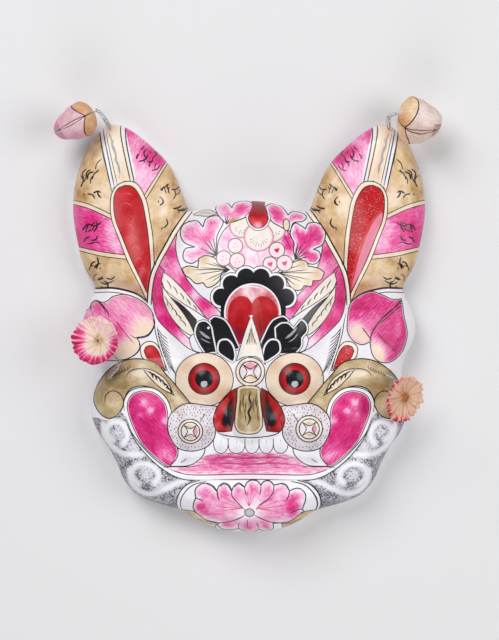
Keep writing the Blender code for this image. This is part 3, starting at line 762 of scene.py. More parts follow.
# Painted highlights: two white strokes across the top of the pearl.
stroke([(240, 288.6), (250, 286.6), (262, 288.8)], 1.6, (0.1, 0.1), "white", 1)
stroke([(246, 292.6), (249.4, 296.8), (251.6, 300.4)], 1.0, (0.2, 0.1), "white", 1)
for side in (-1, 1):
    for k in range(7):
        x = 252.3 + side * (9.5 + 1.7 * k)
        stroke([(x, 344.5 - 2.2 * k), (x - side * 1.6, 330 - 1.6 * k)], 0.9, (1, 0.1), "wine", 1)


def black_petal(ring, sides):
    """A black petal inside a white edge and an ink line."""
    shape("black", ring, 0.7, 1.4, "white", sides)


shape("white", ring_of(
    [(189.5, 338.9), (193, 334.4), (198.6, 335.6), (203, 353)], [(193.4, 349.5), (189.5, 338.9)]), 0.8)
black_petal(ring_of(
    [(208.6, 319.6), (215, 315.4), (224.4, 318.3), (229.6, 323.9), (234.2, 333), (241.4, 349)],
    [(228, 352), (214.4, 350)], [(211, 334), (208.6, 319.6)]), 2)
black_petal(ring_of(
    [(194.6, 328.4), (198.1, 321.6), (205.8, 319.9), (212.2, 325.4), (214.6, 336), (218, 353)],
    [(204.9, 354.4)], [(198.1, 343.7), (194.6, 335.1), (194.6, 328.4)]), 1)
black_petal(ring_of(
    [(273.7, 327.4), (280.4, 322.2), (288.1, 322.2), (293.2, 326.6)],
    [(300.5, 318.8), (306.8, 323.5), (307.8, 331.2), (302.5, 338)],
    [(301.9, 346.5), (295.8, 354)], [(279.4, 355)], [(275, 341), (273.7, 327.4)]), 1)
# Painted highlights: grey streaks and a small white dot on the black petals stand in for the lacquer's gloss.
for line, width in (
    ([(200, 331), (206, 336), (210.6, 338.4)], 2.4), ([(201, 338), (207, 341.5), (211, 342.6)], 1.0),
    ([(297, 327), (291, 334), (285, 338.4)], 2.4), ([(298, 333), (293, 339), (288, 342)], 1.0),
):
    stroke(line, width, (0.1, 0.1), "cloud_grey", 1)
lay("white", disc(208.7, 327.8, 1.3), 1)
loop = [(216.8, 348.5), (218.3, 341.2), (223, 338.2), (229.2, 339.1), (234.4, 345.6), (236.4, 356.1),
        (233.2, 362.6), (225, 358.4), (218.6, 353.5)]
shape("black", ring_of(loop), 0.5, 1.7, "white")
horn = ring_of(
    [(251.3, 314.8), (246, 329), (241.2, 344), (236.4, 360.6)],
    [(243.5, 357), (251, 356), (258, 357.4), (265.4, 364.4)], [(260.9, 346), (256.4, 330), (251.3, 314.8)])
shape("horn", horn, 0.8, 1.3, "white", 1, wash(0.0, (250, 336, 7, 0.3), grain=88.0))
for k, x in enumerate((-5.4, -3.6, -1.8, 0, 1.8, 3.6, 5.4)):
    stroke([(251.2 + x * 0.35, 324 + abs(x) * 2.2), (251.2 + x * 0.8, 334 + abs(x) * 1.4),
            (251.2 + x, 345)], 0.7, (0.3, 0.1), "soft_ink", 1)
print("layers of paint so far:", len(FACE_PAINT))

# %% [markdown]
# ## The eyes and the boss between them
#
# The eyeballs swell out of the mask. A cream disc carries a red iris with a dark rim, a black
# pupil and a small grey painted highlight. Between them sits a boss painted like a knot of coins.

# %% Paint the eyes and the boss
for side in (-1, 1):
    x = 249.4 + side * 44.8
    shape("eye_cream", disc(x, 379, 28.8, 26.6), 0.9, sides=1, how=wash(
        0.05, (x - 18, 366, 8, 0.5), (x + 16, 393, 9, 0.5), (x + 20, 368, 8, 0.35), (x - 6, 398, 7, 0.25),
        grain=(x, 379)))
    shape("vermilion", disc(x, 378.2, 15.5), 0.9, sides=1, how=wash(
        0.62, (x - 9, 370, 6, 0.15), (x + 8, 386, 6, -0.1), edge=-0.3, grain=(x, 378)))
    lay("black", disc(x, 378.2, 9.0), 1)
    # Painted highlight: a small grey spot low on each pupil.
    lay("cloud_grey", ring_of(
        [(x - 2.6, 381), (x + 2.2, 380.4), (x + 3.4, 383.6), (x + 0.6, 386.6), (x - 2.8, 385)]), 1, wash(0.1))
shape("cream", disc(250.3, 371.4, 14.4), 1.0, sides=1, how=wash(0.1))
shape("white", disc(250.3, 371.4, 10.7), 1.2, sides=1)
lay("rose_rim", ring_of([(242.8, 366), (250.3, 361.4), (257.6, 366)], [(250.3, 370), (242.8, 366)]), 1)
lay("peach", ring_of([(242.8, 377), (250.3, 373.4), (257.6, 377)], [(250.3, 381), (242.8, 377)]), 1)


ARC_REACH = 0.72
ARC_BOW = 0.4


def coin_arcs(x, y, radius):
    """Four arcs that cross like the edges of overlapping coins."""
    for turn in (0, 90, 180, 270):
        angle = math.radians(turn)
        way, across = (math.cos(angle), math.sin(angle)), (-math.sin(angle), math.cos(angle))
        stroke([
            (x + radius * (ARC_REACH * way[0] + s * ARC_REACH * across[0] - bow * way[0]),
             y + radius * (ARC_REACH * way[1] + s * ARC_REACH * across[1] - bow * way[1]))
            for s, bow in ((-1, 0), (0, ARC_BOW), (1, 0))], 0.9, (0.5, 0.5), "ink", 1)


coin_arcs(250.3, 371.4, 10.2)
print("layers of paint so far:", len(FACE_PAINT))

# %% [markdown]
# ## The cheeks, the eyebrows and the gills
#
# A great magenta petal covers each temple, and below it an ochre eyebrow curls outwards like a
# wave. Beside the mouth hangs a magenta lobe, with painted highlights where it swells.

# %% Paint the cheeks
stroke(shifted(SEAM_ON_THE_LEFT, 0.0, 3.4), 1.0, (1, 0.6), "soft_ink")
temple = ring_of(
    [(78, 322), (84, 312), (88.6, 308)], [(90.4, 303.6), (95.6, 300.4), (103, 302.4), (109, 300)],
    [(113, 296.5), (124, 294.4), (134, 297), (145, 303.4), (153.4, 313.8), (154.6, 325), (148.4, 334.6),
     (137.6, 337.4)],
    [(140.6, 345), (137.4, 352.4), (128, 358.4), (114, 360.6), (96, 360)], [(78, 350), (78, 322)])
shape("temple_wash", temple, 1.0, 0.4, "white", 1, wash(
    0.52, (144, 329, 12, -0.6), (132, 350, 13, -0.6), (118, 352, 10, -0.4), (120, 304, 9, -0.15),
    (138, 304, 8, -0.12), (118, 332, 8, 0.35), (98, 308, 6, 0.25), (108, 340, 8, 0.15), grain=-38.0))
stroke([(154.0, 315), (155.2, 325), (149, 335.4), (137.6, 338), (131, 335)], 1.0, sides=1)
stroke([(139.6, 343.4), (140.2, 349), (135.8, 354.4), (127, 358.8), (112, 360.9)], 1.0, sides=1)
for line, width in (
    ([(90.2, 309.6), (90.4, 303.4), (96, 300.6), (102, 305), (106.5, 313.6)], 1.5),
    ([(96.6, 301), (101, 303.4), (107.6, 311.4), (109.6, 319)], 1.0),
):
    stroke(line, width, (0.9, 0.1), "ink", 1)
for k in range(7):
    stroke([(117 + 2.4 * k, 322 + 3.0 * k), (121.5 + 2.4 * k, 328.6 + 2.6 * k)], 0.8, (0.9, 0.1), "wine", 1)
right_temple = ring_of(
    [(348.4, 309), (350.6, 303.4), (355.7, 298), (364, 293.4), (372.9, 291.6), (382.9, 295), (391, 299)],
    [(397.4, 299.4), (401.8, 298.4)],
    [(402.9, 304.3), (404.3, 317.1), (407.2, 330), (407, 339), (403.4, 350), (396, 358.4), (386.6, 362.6),
     (377.1, 360.6), (371.4, 353.4), (369.4, 341.6)],
    [(361.4, 344.6), (352.4, 340.4), (347, 331.6), (346.8, 320), (348.4, 309)])
shape("temple_wash", right_temple, 1.0, 0.4, "white", 1, wash(
    0.8, (355, 332, 11, -0.85), (364, 340, 7, -0.5), (375, 350, 9, -0.85), (380, 358, 7, -0.7),
    (390, 340, 7, 0.2), (362, 308, 9, 0.1), grain=38.0))
stroke([(402.2, 300), (394, 308), (382, 318), (374, 328), (370.4, 336), (369.3, 344)], 1.6, (0.9, 0.3), "ink",
       1)
stroke([(401.6, 305), (394, 311.4), (384, 319.6), (377, 327)], 0.9, (0.9, 0.1), "ink", 1)
stroke([(399, 299.6), (400.4, 303), (403, 303.6)], 1.0, (0.5, 0.3), "ink", 1)
for k in range(10):
    stroke([(377.5 + 2.0 * k, 332.5 + 1.9 * k), (380 + 1.8 * k, 338.5 + 1.9 * k)], 1.2, (0.9, 0.1), "wine", 1)
for k in range(4):
    stroke([(362 + 1.8 * k, 328 + 2.4 * k), (366 + 1.8 * k, 334 + 2.2 * k)], 1.1, (0.9, 0.1), "wine", 1)
for side, red in ((1, "vermilion"), (-1, "glittered_red")):
    drop, margin = (anticlockwise(ring * (side, 1)) for ring in (
        ring_of([(144.6, 351), (147, 346.4), (153.4, 345.6), (158.6, 350.6), (162, 359), (165.6, 369.6)],
                [(156.5, 363), (148, 358.4), (144.6, 351)]),
        ring_of([(141.8, 356), (141, 347.6), (146, 342.2), (153.6, 341.8), (159.2, 347), (163, 356),
                 (167, 370.4)],
                [(152, 366), (141.8, 356)])))
    shape("cream", margin, 0.9, sides=1, how=wash(0.0))
    how = wash(0.66, (150, 350, 4, -0.3), (155, 357, 4, -0.1), grain=20.0)
    shape(red, drop, 0.8, sides=1, how=how if side == 1 else mirrored(how))
stroke([(152.6, 313), (154.7, 323.3), (156.4, 334), (160.5, 349), (165, 361.5), (170, 374.3)], 0.9)
stroke([(157.6, 326), (159.6, 338), (164.6, 354), (171.4, 371)], 0.9)
for k in range(11):
    x, y = 158.2 + 0.66 * k + 0.055 * k * k, 329 + 3.7 * k
    stroke([(x, y), (x + 4.2, y + 5.4), (x + 10.5 - 0.3 * k, y + 10.4)], 0.8, (0.9, 0.1), "ink")
eyebrow = ring_of(
    [(93.4, 393), (98, 383.2), (107, 371.6), (119.6, 362.6), (132.4, 358.8), (146.4, 359.4), (158, 364),
     (167, 374.3), (176, 384.5), (190.4, 402)],
    [(180, 408), (170, 413.5)],
    [(168.6, 404.4), (161.8, 394.9), (152.2, 387.6), (141.2, 385.6), (131, 388.8), (125.6, 396.7),
     (123.6, 405.6), (118.2, 414.6), (109, 418.2), (99.6, 413), (93.4, 402.5), (93.4, 393)])
shape("olive_ochre", eyebrow, 1.2, how=wash(
    0.5, (108, 376, 9, 0.25), (100, 396, 7, 0.25), (136, 372, 9, -0.3), (150, 378, 8, -0.35),
    (178, 400, 8, -0.3), (112, 402, 8, -0.2), (122, 388, 7, 0.2), (166, 384, 6, 0.1), grain=25.0))
stroke([(105.2, 402.4), (106.4, 394.8), (113, 390.6), (120, 393), (124, 400), (122.8, 408.6)], 1.1)
stroke([(127, 375.8), (131, 370.6), (140, 368.4), (150, 370)], 0.9)
lay("cream", ring_of(
    [(131, 373), (140, 370), (150, 372)], [(146, 377), (136, 376), (131, 373)]), 2, wash(0.3))
shape("cream", ring_of(
    [(143, 368), (154, 370.4), (166.4, 379.4), (174.6, 394.8)], [(161, 387.4), (151, 377.8), (143, 368)]),
    1.0, how=wash(0.25))
for x, y in ((149.6, 370.4), (153.4, 372.4), (157.4, 375.0), (161.2, 378.2), (164.8, 382), (168, 386.4)):
    stroke([(x - 1.6, y + 0.4), (x + 2.4, y + 2.6), (x + 4.4, y + 7.6)], 1.7, (0.7, 0.2))
stroke([(142, 369), (147, 370.4), (152, 374)], 1.2, (0.2, 0.2), "cloud_grey")
for k in range(7):
    x, y = 112 + 2.6 * k, 377 - 1.1 * k
    stroke([(x, y), (x + 3, y - 3.4), (x + 2, y - 5.4)], 0.8, (0.6, 0.1), "soft_ink")
gill = ring_of(
    [(128.5, 401), (133.1, 394.1), (143.5, 390.4), (155, 392.6), (164.3, 401), (168, 411.3),
     (168.7, 427.4), (172.2, 438.9), (178, 448.1), (177, 457.2), (170.2, 465.9), (161.8, 461.2),
     (150.4, 451.9), (141.2, 441.6), (133.1, 425.4), (128.2, 410.6)])
lay("white", gill - sideways(gill, True) * 2.7, 2, wash(0.2))
stroke([(125.2, 413), (124.4, 401), (130.4, 391), (142.4, 386.9), (156.2, 388.7), (166.8, 397.8),
        (171.8, 410.6), (172.2, 424)], 1.0)
# Painted highlights: the pale spots in the gill's wash stand where the lacquer catches the light on its
# swelling.
shape("magenta", gill, 0.9, 0.5, "white", 2, wash(
    0.9, (143.9, 402.3, 4.5, -0.7), (151.5, 410, 3.5, -0.6), (141, 414, 2.5, -0.3), (166, 420, 5, -0.4),
    (165, 452, 8, -0.4), (172, 458, 5, -0.3), (133, 404, 4, 0.1), (150, 430, 8, 0.1), grain=-50.0))
print("layers of paint so far:", len(FACE_PAINT))

# %% [markdown]
# ## The muzzle and the fur round it
#
# The jaw is stippled grey over white, and the stippling leaves broad swirls bare. The swirls
# are curves that the paint keeps away from. Over the fur come red nostril wings, an ochre nose,
# dotted whisker pads, blunt teeth between fangs, a pink tongue and the double line of the mouth.

# %% Paint the fur of the jaw
SWIRLS = [open_curve(at(line)) for line in (
    [(113, 440), (107.6, 434.6), (107, 428), (112, 422.6), (120, 422), (126.4, 428), (127.6, 437),
     (123, 444)],
    [(103, 424), (104.4, 436), (111.5, 446), (121.5, 452.4), (132, 454.4), (143.5, 454)],
    [(139, 484), (133, 478), (132, 470), (138, 464.4), (147, 463.4), (156, 468), (159, 476), (155, 482)],
    [(129, 470), (131, 483), (139, 491), (150, 494), (163, 490), (174, 484), (186, 479.6)],
)]
fur = ring_of(
    [(60, 424), (92, 418), (104, 420), (114, 419), (122, 412), (129.7, 427.4), (137.7, 442.3), (149.2, 456.1),
     (164.1, 468.7), (179.1, 476.8), (196.3, 479)],
    [(186, 484.8), (179.1, 495.1), (176.8, 505.5), (180, 520)], [(170, 545), (60, 545), (45, 480)],
    [(60, 424)])
lay("fur", fur, 2, wash(
    0.72, (96, 426, 10, 0.1), (112, 500, 26, 0.2), (170, 512, 12, 0.15), (134, 447, 6, -0.3),
    (160, 484, 6, -0.2), (118, 432, 5, -0.3), (146, 474, 6, -0.3), lines=SWIRLS, grain=-45.0))
print("swirls in the fur on each side:", len(SWIRLS))

# %% [markdown]
# ## The nose, the whisker pads and the mouth
#
# These are filled and inked like the rest. The dots on the pads are many, so two loops set them
# out in staggered rows and nudge each one a little, as a hand would.

# %% Paint the muzzle
shape("white", ring_of(
    both_halves([(124.6, 410.5), (129.2, 427.4), (137.2, 442.3), (148.9, 456.4), (163.9, 469.1),
                 (179.1, 477.4), (196.3, 479.6), (249, 478.4)]),
    [*both_halves([(371.2, 418), (366, 431.6), (357.4, 443.4), (346, 455.4), (337, 462.8), (329, 467.6),
                   (318.9, 471.8), (301.7, 474.4), (249, 473.4)]), (124.6, 410.5)]),
    1.0, sides=1, how=wash(0.1))
lay("white", ring_of(
    both_halves([(176, 468), (190, 464), (203, 452), (206, 444), (249, 442)]),
    [(308, 473.6), (249, 472.8), (190, 473.6), (176, 468)]), 1, wash(0.15))
lay("tongue_wash", ring_of(
    both_halves([(166, 467.4), (189.4, 464.4), (201, 458), (213.5, 452.8), (249, 451)]),
    [*both_halves([(314, 472.2), (290.2, 473.4), (249, 472.6)]), (166, 467.4)]), 1, wash(
        0.42, (215, 456, 9, 0.25), (240, 454.6, 10, 0.25), (270, 456, 9, 0.2), (249, 467, 12, 0.1),
        (222, 467, 8, 0.1), (236, 461.5, 6, -0.2), (262, 461.5, 6, -0.2), edge=0.2, grain=0.0))
for line in ([(204, 459.5), (225, 456.6), (249, 457.2), (273, 456.4), (290, 458.5)],
             [(198, 464.6), (222, 462.6), (249, 463.6), (276, 462.4), (300, 464.6)]):
    stroke(line, 1.7, (0.1, 0.1), "tongue_wash", 1, wash(0.85, grain=0.0))
TEETH = ((213.8, 228.4), (228.4, 245.0), (245.0, 259.0), (259.0, 273.2), (273.2, 287.8))
lay("white", ring_of([(208, 432), (249, 433), (290, 432)], [(292, 446), (249, 446), (206, 446), (208, 432)]),
    1, wash(0.3))
for left, right in TEETH:
    middle = (left + right) / 2
    shape("tooth", ring_of(
        [(left, 434), (left + 0.2, 445), (left + 2.6, 450.4), (middle, 452.4), (right - 2.6, 450.4),
         (right - 0.2, 445), (right, 434)], [(middle, 431), (left, 434)]), 0.8, sides=1,
        how=wash(0.15, (middle, 449, 5, 0.3)))
    stroke([(middle, 438.6), (middle + 0.3, 443.4)], 0.8, (0.4, 0.2), "soft_ink", 1)
lay("white", ring_of([(206, 426), (292, 426)], [(292, 436.6), (249, 437.6), (206, 436.6)], [(206, 426)]), 1,
    wash(0.2))
shape("tooth", ring_of(
    [(178.5, 445), (177.5, 456.4), (169.9, 465.8)],
    [(188.2, 465.2), (198.6, 459.7), (204.3, 452.7), (205.6, 445)],
    [(192, 449), (178.5, 445)]), 1.0, how=wash(0.15, (186, 460, 6, 0.3)))
stroke([(181, 461.8), (184, 460.2), (187, 457.6)], 0.9, (0.8, 0.1), "soft_ink")
stroke([(163, 466.6), (176, 466.2), (190, 466.4), (200, 464.6)], 0.8, (0.4, 0.2))

pad = ring_of(
    [(171, 413.6), (180.2, 405.6), (190.5, 402.7), (205.5, 404.4), (217.4, 405.6)],
    [(213.5, 418.2), (215.8, 429.7), (213.5, 438.9), (205.5, 446.9), (191.7, 450.4), (178, 447),
     (169.9, 434.3), (168.2, 421.7), (171, 413.6)])
shape("pad_wash", pad, 1.1, how=wash(
    0.35, (180, 412, 8, 0.2), (207, 436, 8, 0.25), (186, 446, 8, 0.2), (205, 412, 7, -0.1), grain=20.0))
DOT_SPACING = 3.3
dots = np.random.default_rng(5)
for row in range(17):
    for column in range(16):
        x = 167 + DOT_SPACING * (column + 0.5 * (row % 2)) + dots.uniform(-0.8, 0.8)
        y = 403 + DOT_SPACING * 0.87 * row + dots.uniform(-0.8, 0.8)
        clear = math.hypot(x - 191.1, y - 430.0)
        if clear > 14.2 and dots.random() < 0.82 and inside(at([(x, y)]), pad)[0]:
            if distance_to(at([(x, y)]), np.vstack([pad, pad[:1]]))[0] > 1.3:
                lean = dots.uniform(0.8, 1.5)
                lay("ink", disc(x, y, 0.45 * lean, 0.8 / lean))
stroke([(206, 412), (202, 418.5), (200.6, 421)], 1.0, (0.3, 0.3), "soft_ink")
stroke([(182, 408), (183, 412)], 0.8, (0.3, 0.3), "soft_ink")
for side in (-1, 1):
    x, y = (190.9, 430.4) if side < 0 else (308.7, 427.9)
    radius = 12.2 if side < 0 else 13.2
    shape("cream", disc(x, y, radius), 1.1, sides=1, how=wash(0.1))
    shape("white", disc(x, y, radius * 0.76), 1.1, sides=1)
    lay("ochre",
        ring_of([(x - 5, y - 5.6), (x, y - 7.6), (x + 5, y - 5.6)], [(x, y - 2.6), (x - 5, y - 5.6)]), 1,
        wash(0.2))
    lay("rose_rim",
        ring_of([(x + 5.6, y - 5), (x + 7.6, y), (x + 5.6, y + 5)], [(x + 2.8, y), (x + 5.6, y - 5)]), 1)
    lay("ochre",
        ring_of([(x - 5, y + 5.6), (x, y + 7.6), (x + 5, y + 5.6)], [(x, y + 2.8), (x - 5, y + 5.6)]), 1,
        wash(0.1))
    coin_arcs(x, y, radius * 0.72)

for side, deep in ((-1, 0.0), (1, 0.15)):
    wing = ring_of(
        [(236.6, 387.4), (229, 392.4), (221, 401), (215.2, 411.6), (213.8, 421.7), (218.4, 430.4),
         (231.5, 430)],
        [(234.5, 415.9), (236.6, 398.7), (236.6, 387.4)])
    nostril = ring_of(
        [(232.8, 396.8), (227.4, 406), (223.2, 416.6), (222.6, 422.9)], [(226.6, 426), (231.4, 424)],
        [(233.4, 411), (232.8, 396.8)])
    how = wash(0.7 + deep, (219, 424, 5, -0.4), (220, 408, 4, -0.25), (216, 414, 4, -0.1), (231, 392, 5, 0.1),
               grain=60.0)
    if side == 1:
        wing, nostril, how = anticlockwise(wing * (-1, 1)), anticlockwise(nostril * (-1, 1)), mirrored(how)
    shape("vermilion", wing, 1.1, sides=1, how=how)
    lay("dark_red", nostril - sideways(nostril, True) * 1.0, 1)
    lay("black", nostril + sideways(nostril, True) * 0.3, 1)
# Painted highlight: the nose is paler towards its tip.
shape("olive_ochre", ring_of(
    [(237.4, 387.9), (241, 385.6), (249, 384.8), (257, 385.8), (260, 388.6)],
    [(260.6, 402), (262.2, 414), (262.2, 425), (257.5, 431.4), (249, 433), (239.6, 431.4),
     (235.2, 425), (235.4, 414), (236.8, 401), (237.4, 387.9)]), 1.0, 2.0, "cream", 1, wash(
        0.62, (240, 404, 5, 0.25), (257, 404, 5, 0.2), (249, 418, 6, -0.15), (250, 426, 5, -0.5),
        (248, 392, 5, 0.1), grain=88.0))
stroke([(250.8, 391), (249, 397), (251.6, 404), (248.4, 411), (250, 417), (247.3, 424.4)], 2.2, (0.3, 0.2),
       "ink", 1)
for x, top, low in ((241, 398, 414), (243.8, 393, 409), (246, 400, 421), (254, 396, 412), (256.6, 392, 407),
                    (258.4, 404, 420)):
    stroke([(x, top), (x - 0.9, (top + low) / 2), (x + 0.3, low)], 1.1, (0.1, 0.1), "umber", 1)
stroke([(216.5, 429.9), (222, 433.6), (236.5, 436), (249, 436.4), (262, 436), (276, 433.2), (281.5, 427.5),
        (280.4, 420)], 1.1, (0.4, 0.4), "ink", 1)
print("layers of paint so far:", len(FACE_PAINT))

# %% [markdown]
# ## The chin
#
# A peony in full bloom sits under the mouth, between two ochre leaves, inside a double arc.

# %% Paint the chin
lay("white", ring_of(
    [(196.3, 479.6), (186, 484.8), (179.1, 495.1), (176.8, 505.5), (180.2, 513.5)], [(190, 545), (308, 545)],
    [(317.8, 513.5), (321.2, 505.5), (318.9, 495.1), (312, 484.8), (301.7, 479.6)],
    [(249, 478.8), (196.3, 479.6)]),
    1, wash(0.15))
for line in ([(200.3, 479.6), (188, 483.6), (179.1, 493.1), (176.6, 504.5), (180.2, 514)],
             [(206.7, 480.4), (192.9, 484.6), (183.4, 494.1), (180.2, 504.5), (182.8, 513)]):
    stroke(line, 1.0, (0.6, 0.6))
    stroke([(2 * MIDDLE[0] - 0.6 - x, y) for x, y in line], 1.0, (0.6, 0.6), "ink", 1)
bloom = ring_of(
    [(196.2, 497.5), (195.4, 489.3), (200, 484), (206.6, 482.5), (213, 485.4), (217, 490.2)],
    [(219.4, 484.6), (224, 482.5), (228.6, 484.4), (231.8, 490)],
    [(234, 485), (238.9, 482.1), (244.6, 486)], [(247, 481.4), (251.7, 479), (257.4, 480), (260.9, 484)],
    [(263.6, 480.6), (269.1, 479.7), (273.8, 484)],
    [(277, 483.4), (281.4, 482.5), (286, 484.4), (289.2, 490)],
    [(293.5, 488), (299.4, 487.7), (304.8, 492.6), (305.2, 499.7), (302, 508.6)],
    [(303.6, 511), (301.8, 515), (297.7, 518.9), (289.9, 522.4), (279.5, 522.8), (273, 523)],
    [(273, 529.6), (265.8, 532.4), (258.6, 530)], [(255.4, 532), (248.5, 533.6), (239.6, 529.4)],
    [(236.8, 529.4), (230, 531), (222, 530), (216.6, 524.6)],
    [(218.8, 522.8), (206.6, 520.7), (198, 515.4), (193.4, 508.4), (194.3, 501), (196.2, 497.5)])
shape("magenta", bloom, 1.2, 0.8, "white", 1, wash(
    0.4, (249, 508, 14, -0.4), (247, 516, 10, -0.3), (202, 508, 7, 0.4), (206, 494, 5, 0.1),
    (292, 508, 8, 0.4),
    (292, 498, 5, 0.3), (224, 491, 5, 0.25), (252, 489, 7, 0.3), (272, 491, 5, 0.2), (247, 527, 8, 0.5),
    (228, 526, 6, 0.3), (266, 526, 6, 0.3), (238, 491, 5, 0.2), edge=0.3, grain=(249, 511)))
for line, width in (
    ([(207, 482.4), (213, 485.2), (217.2, 490.4)], 2.0),
    ([(219.6, 484.8), (224, 482.4), (228.8, 484.4), (231.8, 490)], 2.2),
    ([(234, 485.4), (239, 482.2), (244.6, 486)], 1.9), ([(281.4, 482.4), (286, 484.4), (289.4, 490.4)], 1.6),
    ([(193.6, 509), (198.2, 515.4), (206.6, 520.6), (218.8, 522.6)], 1.8),
    ([(302, 511.6), (298, 518.6), (290, 522.4), (279.5, 522.6)], 1.8),
    ([(217.4, 489.6), (217.8, 494.5), (219.6, 499)], 1.2),
    ([(231.8, 490), (232.4, 495), (238, 501.6), (245.7, 509.2)], 1.0),
    ([(244.6, 486), (245.2, 490), (246, 494)], 0.9), ([(260.9, 484), (260.6, 490), (259.4, 494)], 0.9),
    ([(273.8, 484), (273, 491), (268, 497.6), (260.1, 503.3), (255.8, 509)], 1.0),
    ([(289.2, 490), (288.4, 495), (286, 499)], 1.2), ([(302, 508.6), (297, 509.4), (291, 512)], 1.0),
    ([(196.2, 497.5), (199.6, 498.4), (203.6, 500.6)], 1.0),
    ([(218.8, 522.8), (230.9, 520.8), (241.3, 516.2), (246, 513)], 1.0),
    ([(279.5, 522.8), (269.1, 521), (260.4, 517.2), (253.6, 513.6)], 1.0),
    ([(239.6, 529.4), (238.4, 526), (239.6, 521.6)], 0.9), ([(258.6, 530), (258, 526), (256.6, 521.6)], 0.9),
    ([(247.6, 519), (247.4, 528)], 0.9),
):
    stroke(line, width, (0.9, 0.3), "ink", 1)
fan((243, 507), [(216, 499), (212, 505), (222, 494), (226, 502), (214, 511), (228, 508)], 0.7, "rose")
fan((256, 507), [(282, 499), (286, 505), (276, 494), (272, 502), (284, 512), (270, 508)], 0.7, "rose")
fan((249, 505), [(243, 492), (247, 488), (252, 488), (256, 491)], 0.7, "rose")
shape("cloud_grey", ring_of(
    [(244.6, 510.4), (248, 507.6), (252, 508), (254.4, 511.6), (251.6, 515), (247, 514.8)]), 0.9, sides=1,
    how=wash(0.1))
for side in (-1, 1):
    leaf = ring_of(
        [(181, 510.9), (192, 511.2), (200, 515.4), (206.9, 520.8), (216.3, 523.4)], [(214, 532), (206, 545)],
        [(168, 545)], [(181, 510.9)])
    how = wash(0.25, (190, 514, 6, 0.15), (208, 524, 6, -0.15), grain=-35.0)
    if side == 1:
        leaf, how = anticlockwise(leaf * (-1, 1)), mirrored(wash(0.5, (208, 524, 6, 0.1), (190, 514, 6, -0.1),
            grain=-35.0))
    shape("ochre", leaf, 1.0, sides=1, how=how)
stroke([(196, 519), (205, 522.6), (214, 524.6)], 0.9)
print("layers of paint on the face:", len(FACE_PAINT))

# %% [markdown]
# ## Shared effects
#
# Several pigments share the same brush marks, grit and lacquer. Each effect is one node group
# with inputs, built once and placed in each material with its own values. A group here puts
# out only colours and masks, and the shader stays in the material, where an exporter can read
# it.

# %% Node groups
def new_group(name, inputs, outputs):
    """An empty node group with these sockets, and its input and output nodes."""
    group = bpy.data.node_groups.new(name, "ShaderNodeTree")
    for label, kind, value in inputs:
        socket = group.interface.new_socket(label, in_out="INPUT", socket_type=kind)
        socket.default_value = value
    for label, kind in outputs:
        group.interface.new_socket(label, in_out="OUTPUT", socket_type=kind)
    return group, group.nodes.new("NodeGroupInput"), group.nodes.new("NodeGroupOutput")


def node(tree, kind, **settings):
    """A new node with some of its settings and input values."""
    made = tree.nodes.new(kind)
    for key, value in settings.items():
        if key.startswith("in_"):
            made.inputs[int(key[3:])].default_value = value
        else:
            setattr(made, key, value)
    return made


def mixed(tree, share, first, second):
    """A mix of two colours by a share socket. Each is a socket or a fixed colour."""
    made = node(tree, "ShaderNodeMix", data_type="RGBA")
    tree.links.new(share, made.inputs[0])
    for place, value in ((6, first), (7, second)):
        if isinstance(value, tuple):
            made.inputs[place].default_value = value
        else:
            tree.links.new(value, made.inputs[place])
    return made.outputs[2]


def summed(tree, kind, first, second):
    """A Math node of one kind on two sockets, or a socket and a number."""
    made = node(tree, "ShaderNodeMath", operation=kind)
    for place, value in enumerate((first, second)):
        if isinstance(value, float):
            made.inputs[place].default_value = value
        else:
            tree.links.new(value, made.inputs[place])
    return made.outputs[0]


def noise(tree, place, scale, detail, roughness):
    """Fractal noise at the places that a socket gives."""
    made = node(tree, "ShaderNodeTexNoise", in_2=scale, in_3=detail, in_4=roughness)
    tree.links.new(place, made.inputs["Vector"])
    return made.outputs[0]


def spread(tree, value, low, high):
    """A value from 0 to 1, spread out from low to high."""
    made = node(tree, "ShaderNodeMapRange", in_3=low, in_4=high)
    tree.links.new(value, made.inputs[0])
    return made.outputs[0]


FLOAT = "NodeSocketFloat"

brush_marks, given, out = new_group(
    "Brush marks",
    [("Streaks", FLOAT, 0.5), ("Pools", FLOAT, 0.3), ("Grit", FLOAT, 0.1)],
    [("Strength", FLOAT)],
)
brush = node(brush_marks, "ShaderNodeAttribute", attribute_name="brush")
parts = node(brush_marks, "ShaderNodeSeparateXYZ")
brush_marks.links.new(brush.outputs["Vector"], parts.inputs[0])
drawn_out = node(brush_marks, "ShaderNodeCombineXYZ")
brush_marks.links.new(summed(brush_marks, "MULTIPLY", parts.outputs[0], 0.16), drawn_out.inputs[0])
brush_marks.links.new(summed(brush_marks, "MULTIPLY", parts.outputs[1], 0.95), drawn_out.inputs[1])
streaks = noise(brush_marks, drawn_out.outputs[0], 1.0, 3.0, 0.6)
place = node(brush_marks, "ShaderNodeTexCoord").outputs["Object"]
pools = noise(brush_marks, place, 110.0, 3.0, 0.55)
grit = noise(brush_marks, place, 700.0, 2.0, 0.6)
total = parts.outputs[2]
for texture, label in ((streaks, "Streaks"), (pools, "Pools"), (grit, "Grit")):
    change = summed(brush_marks, "SUBTRACT", texture, 0.5)
    total = summed(brush_marks, "ADD", total, summed(brush_marks, "MULTIPLY", change, given.outputs[label]))
clamped = node(brush_marks, "ShaderNodeClamp")
brush_marks.links.new(total, clamped.inputs[0])
brush_marks.links.new(clamped.outputs[0], out.inputs[0])

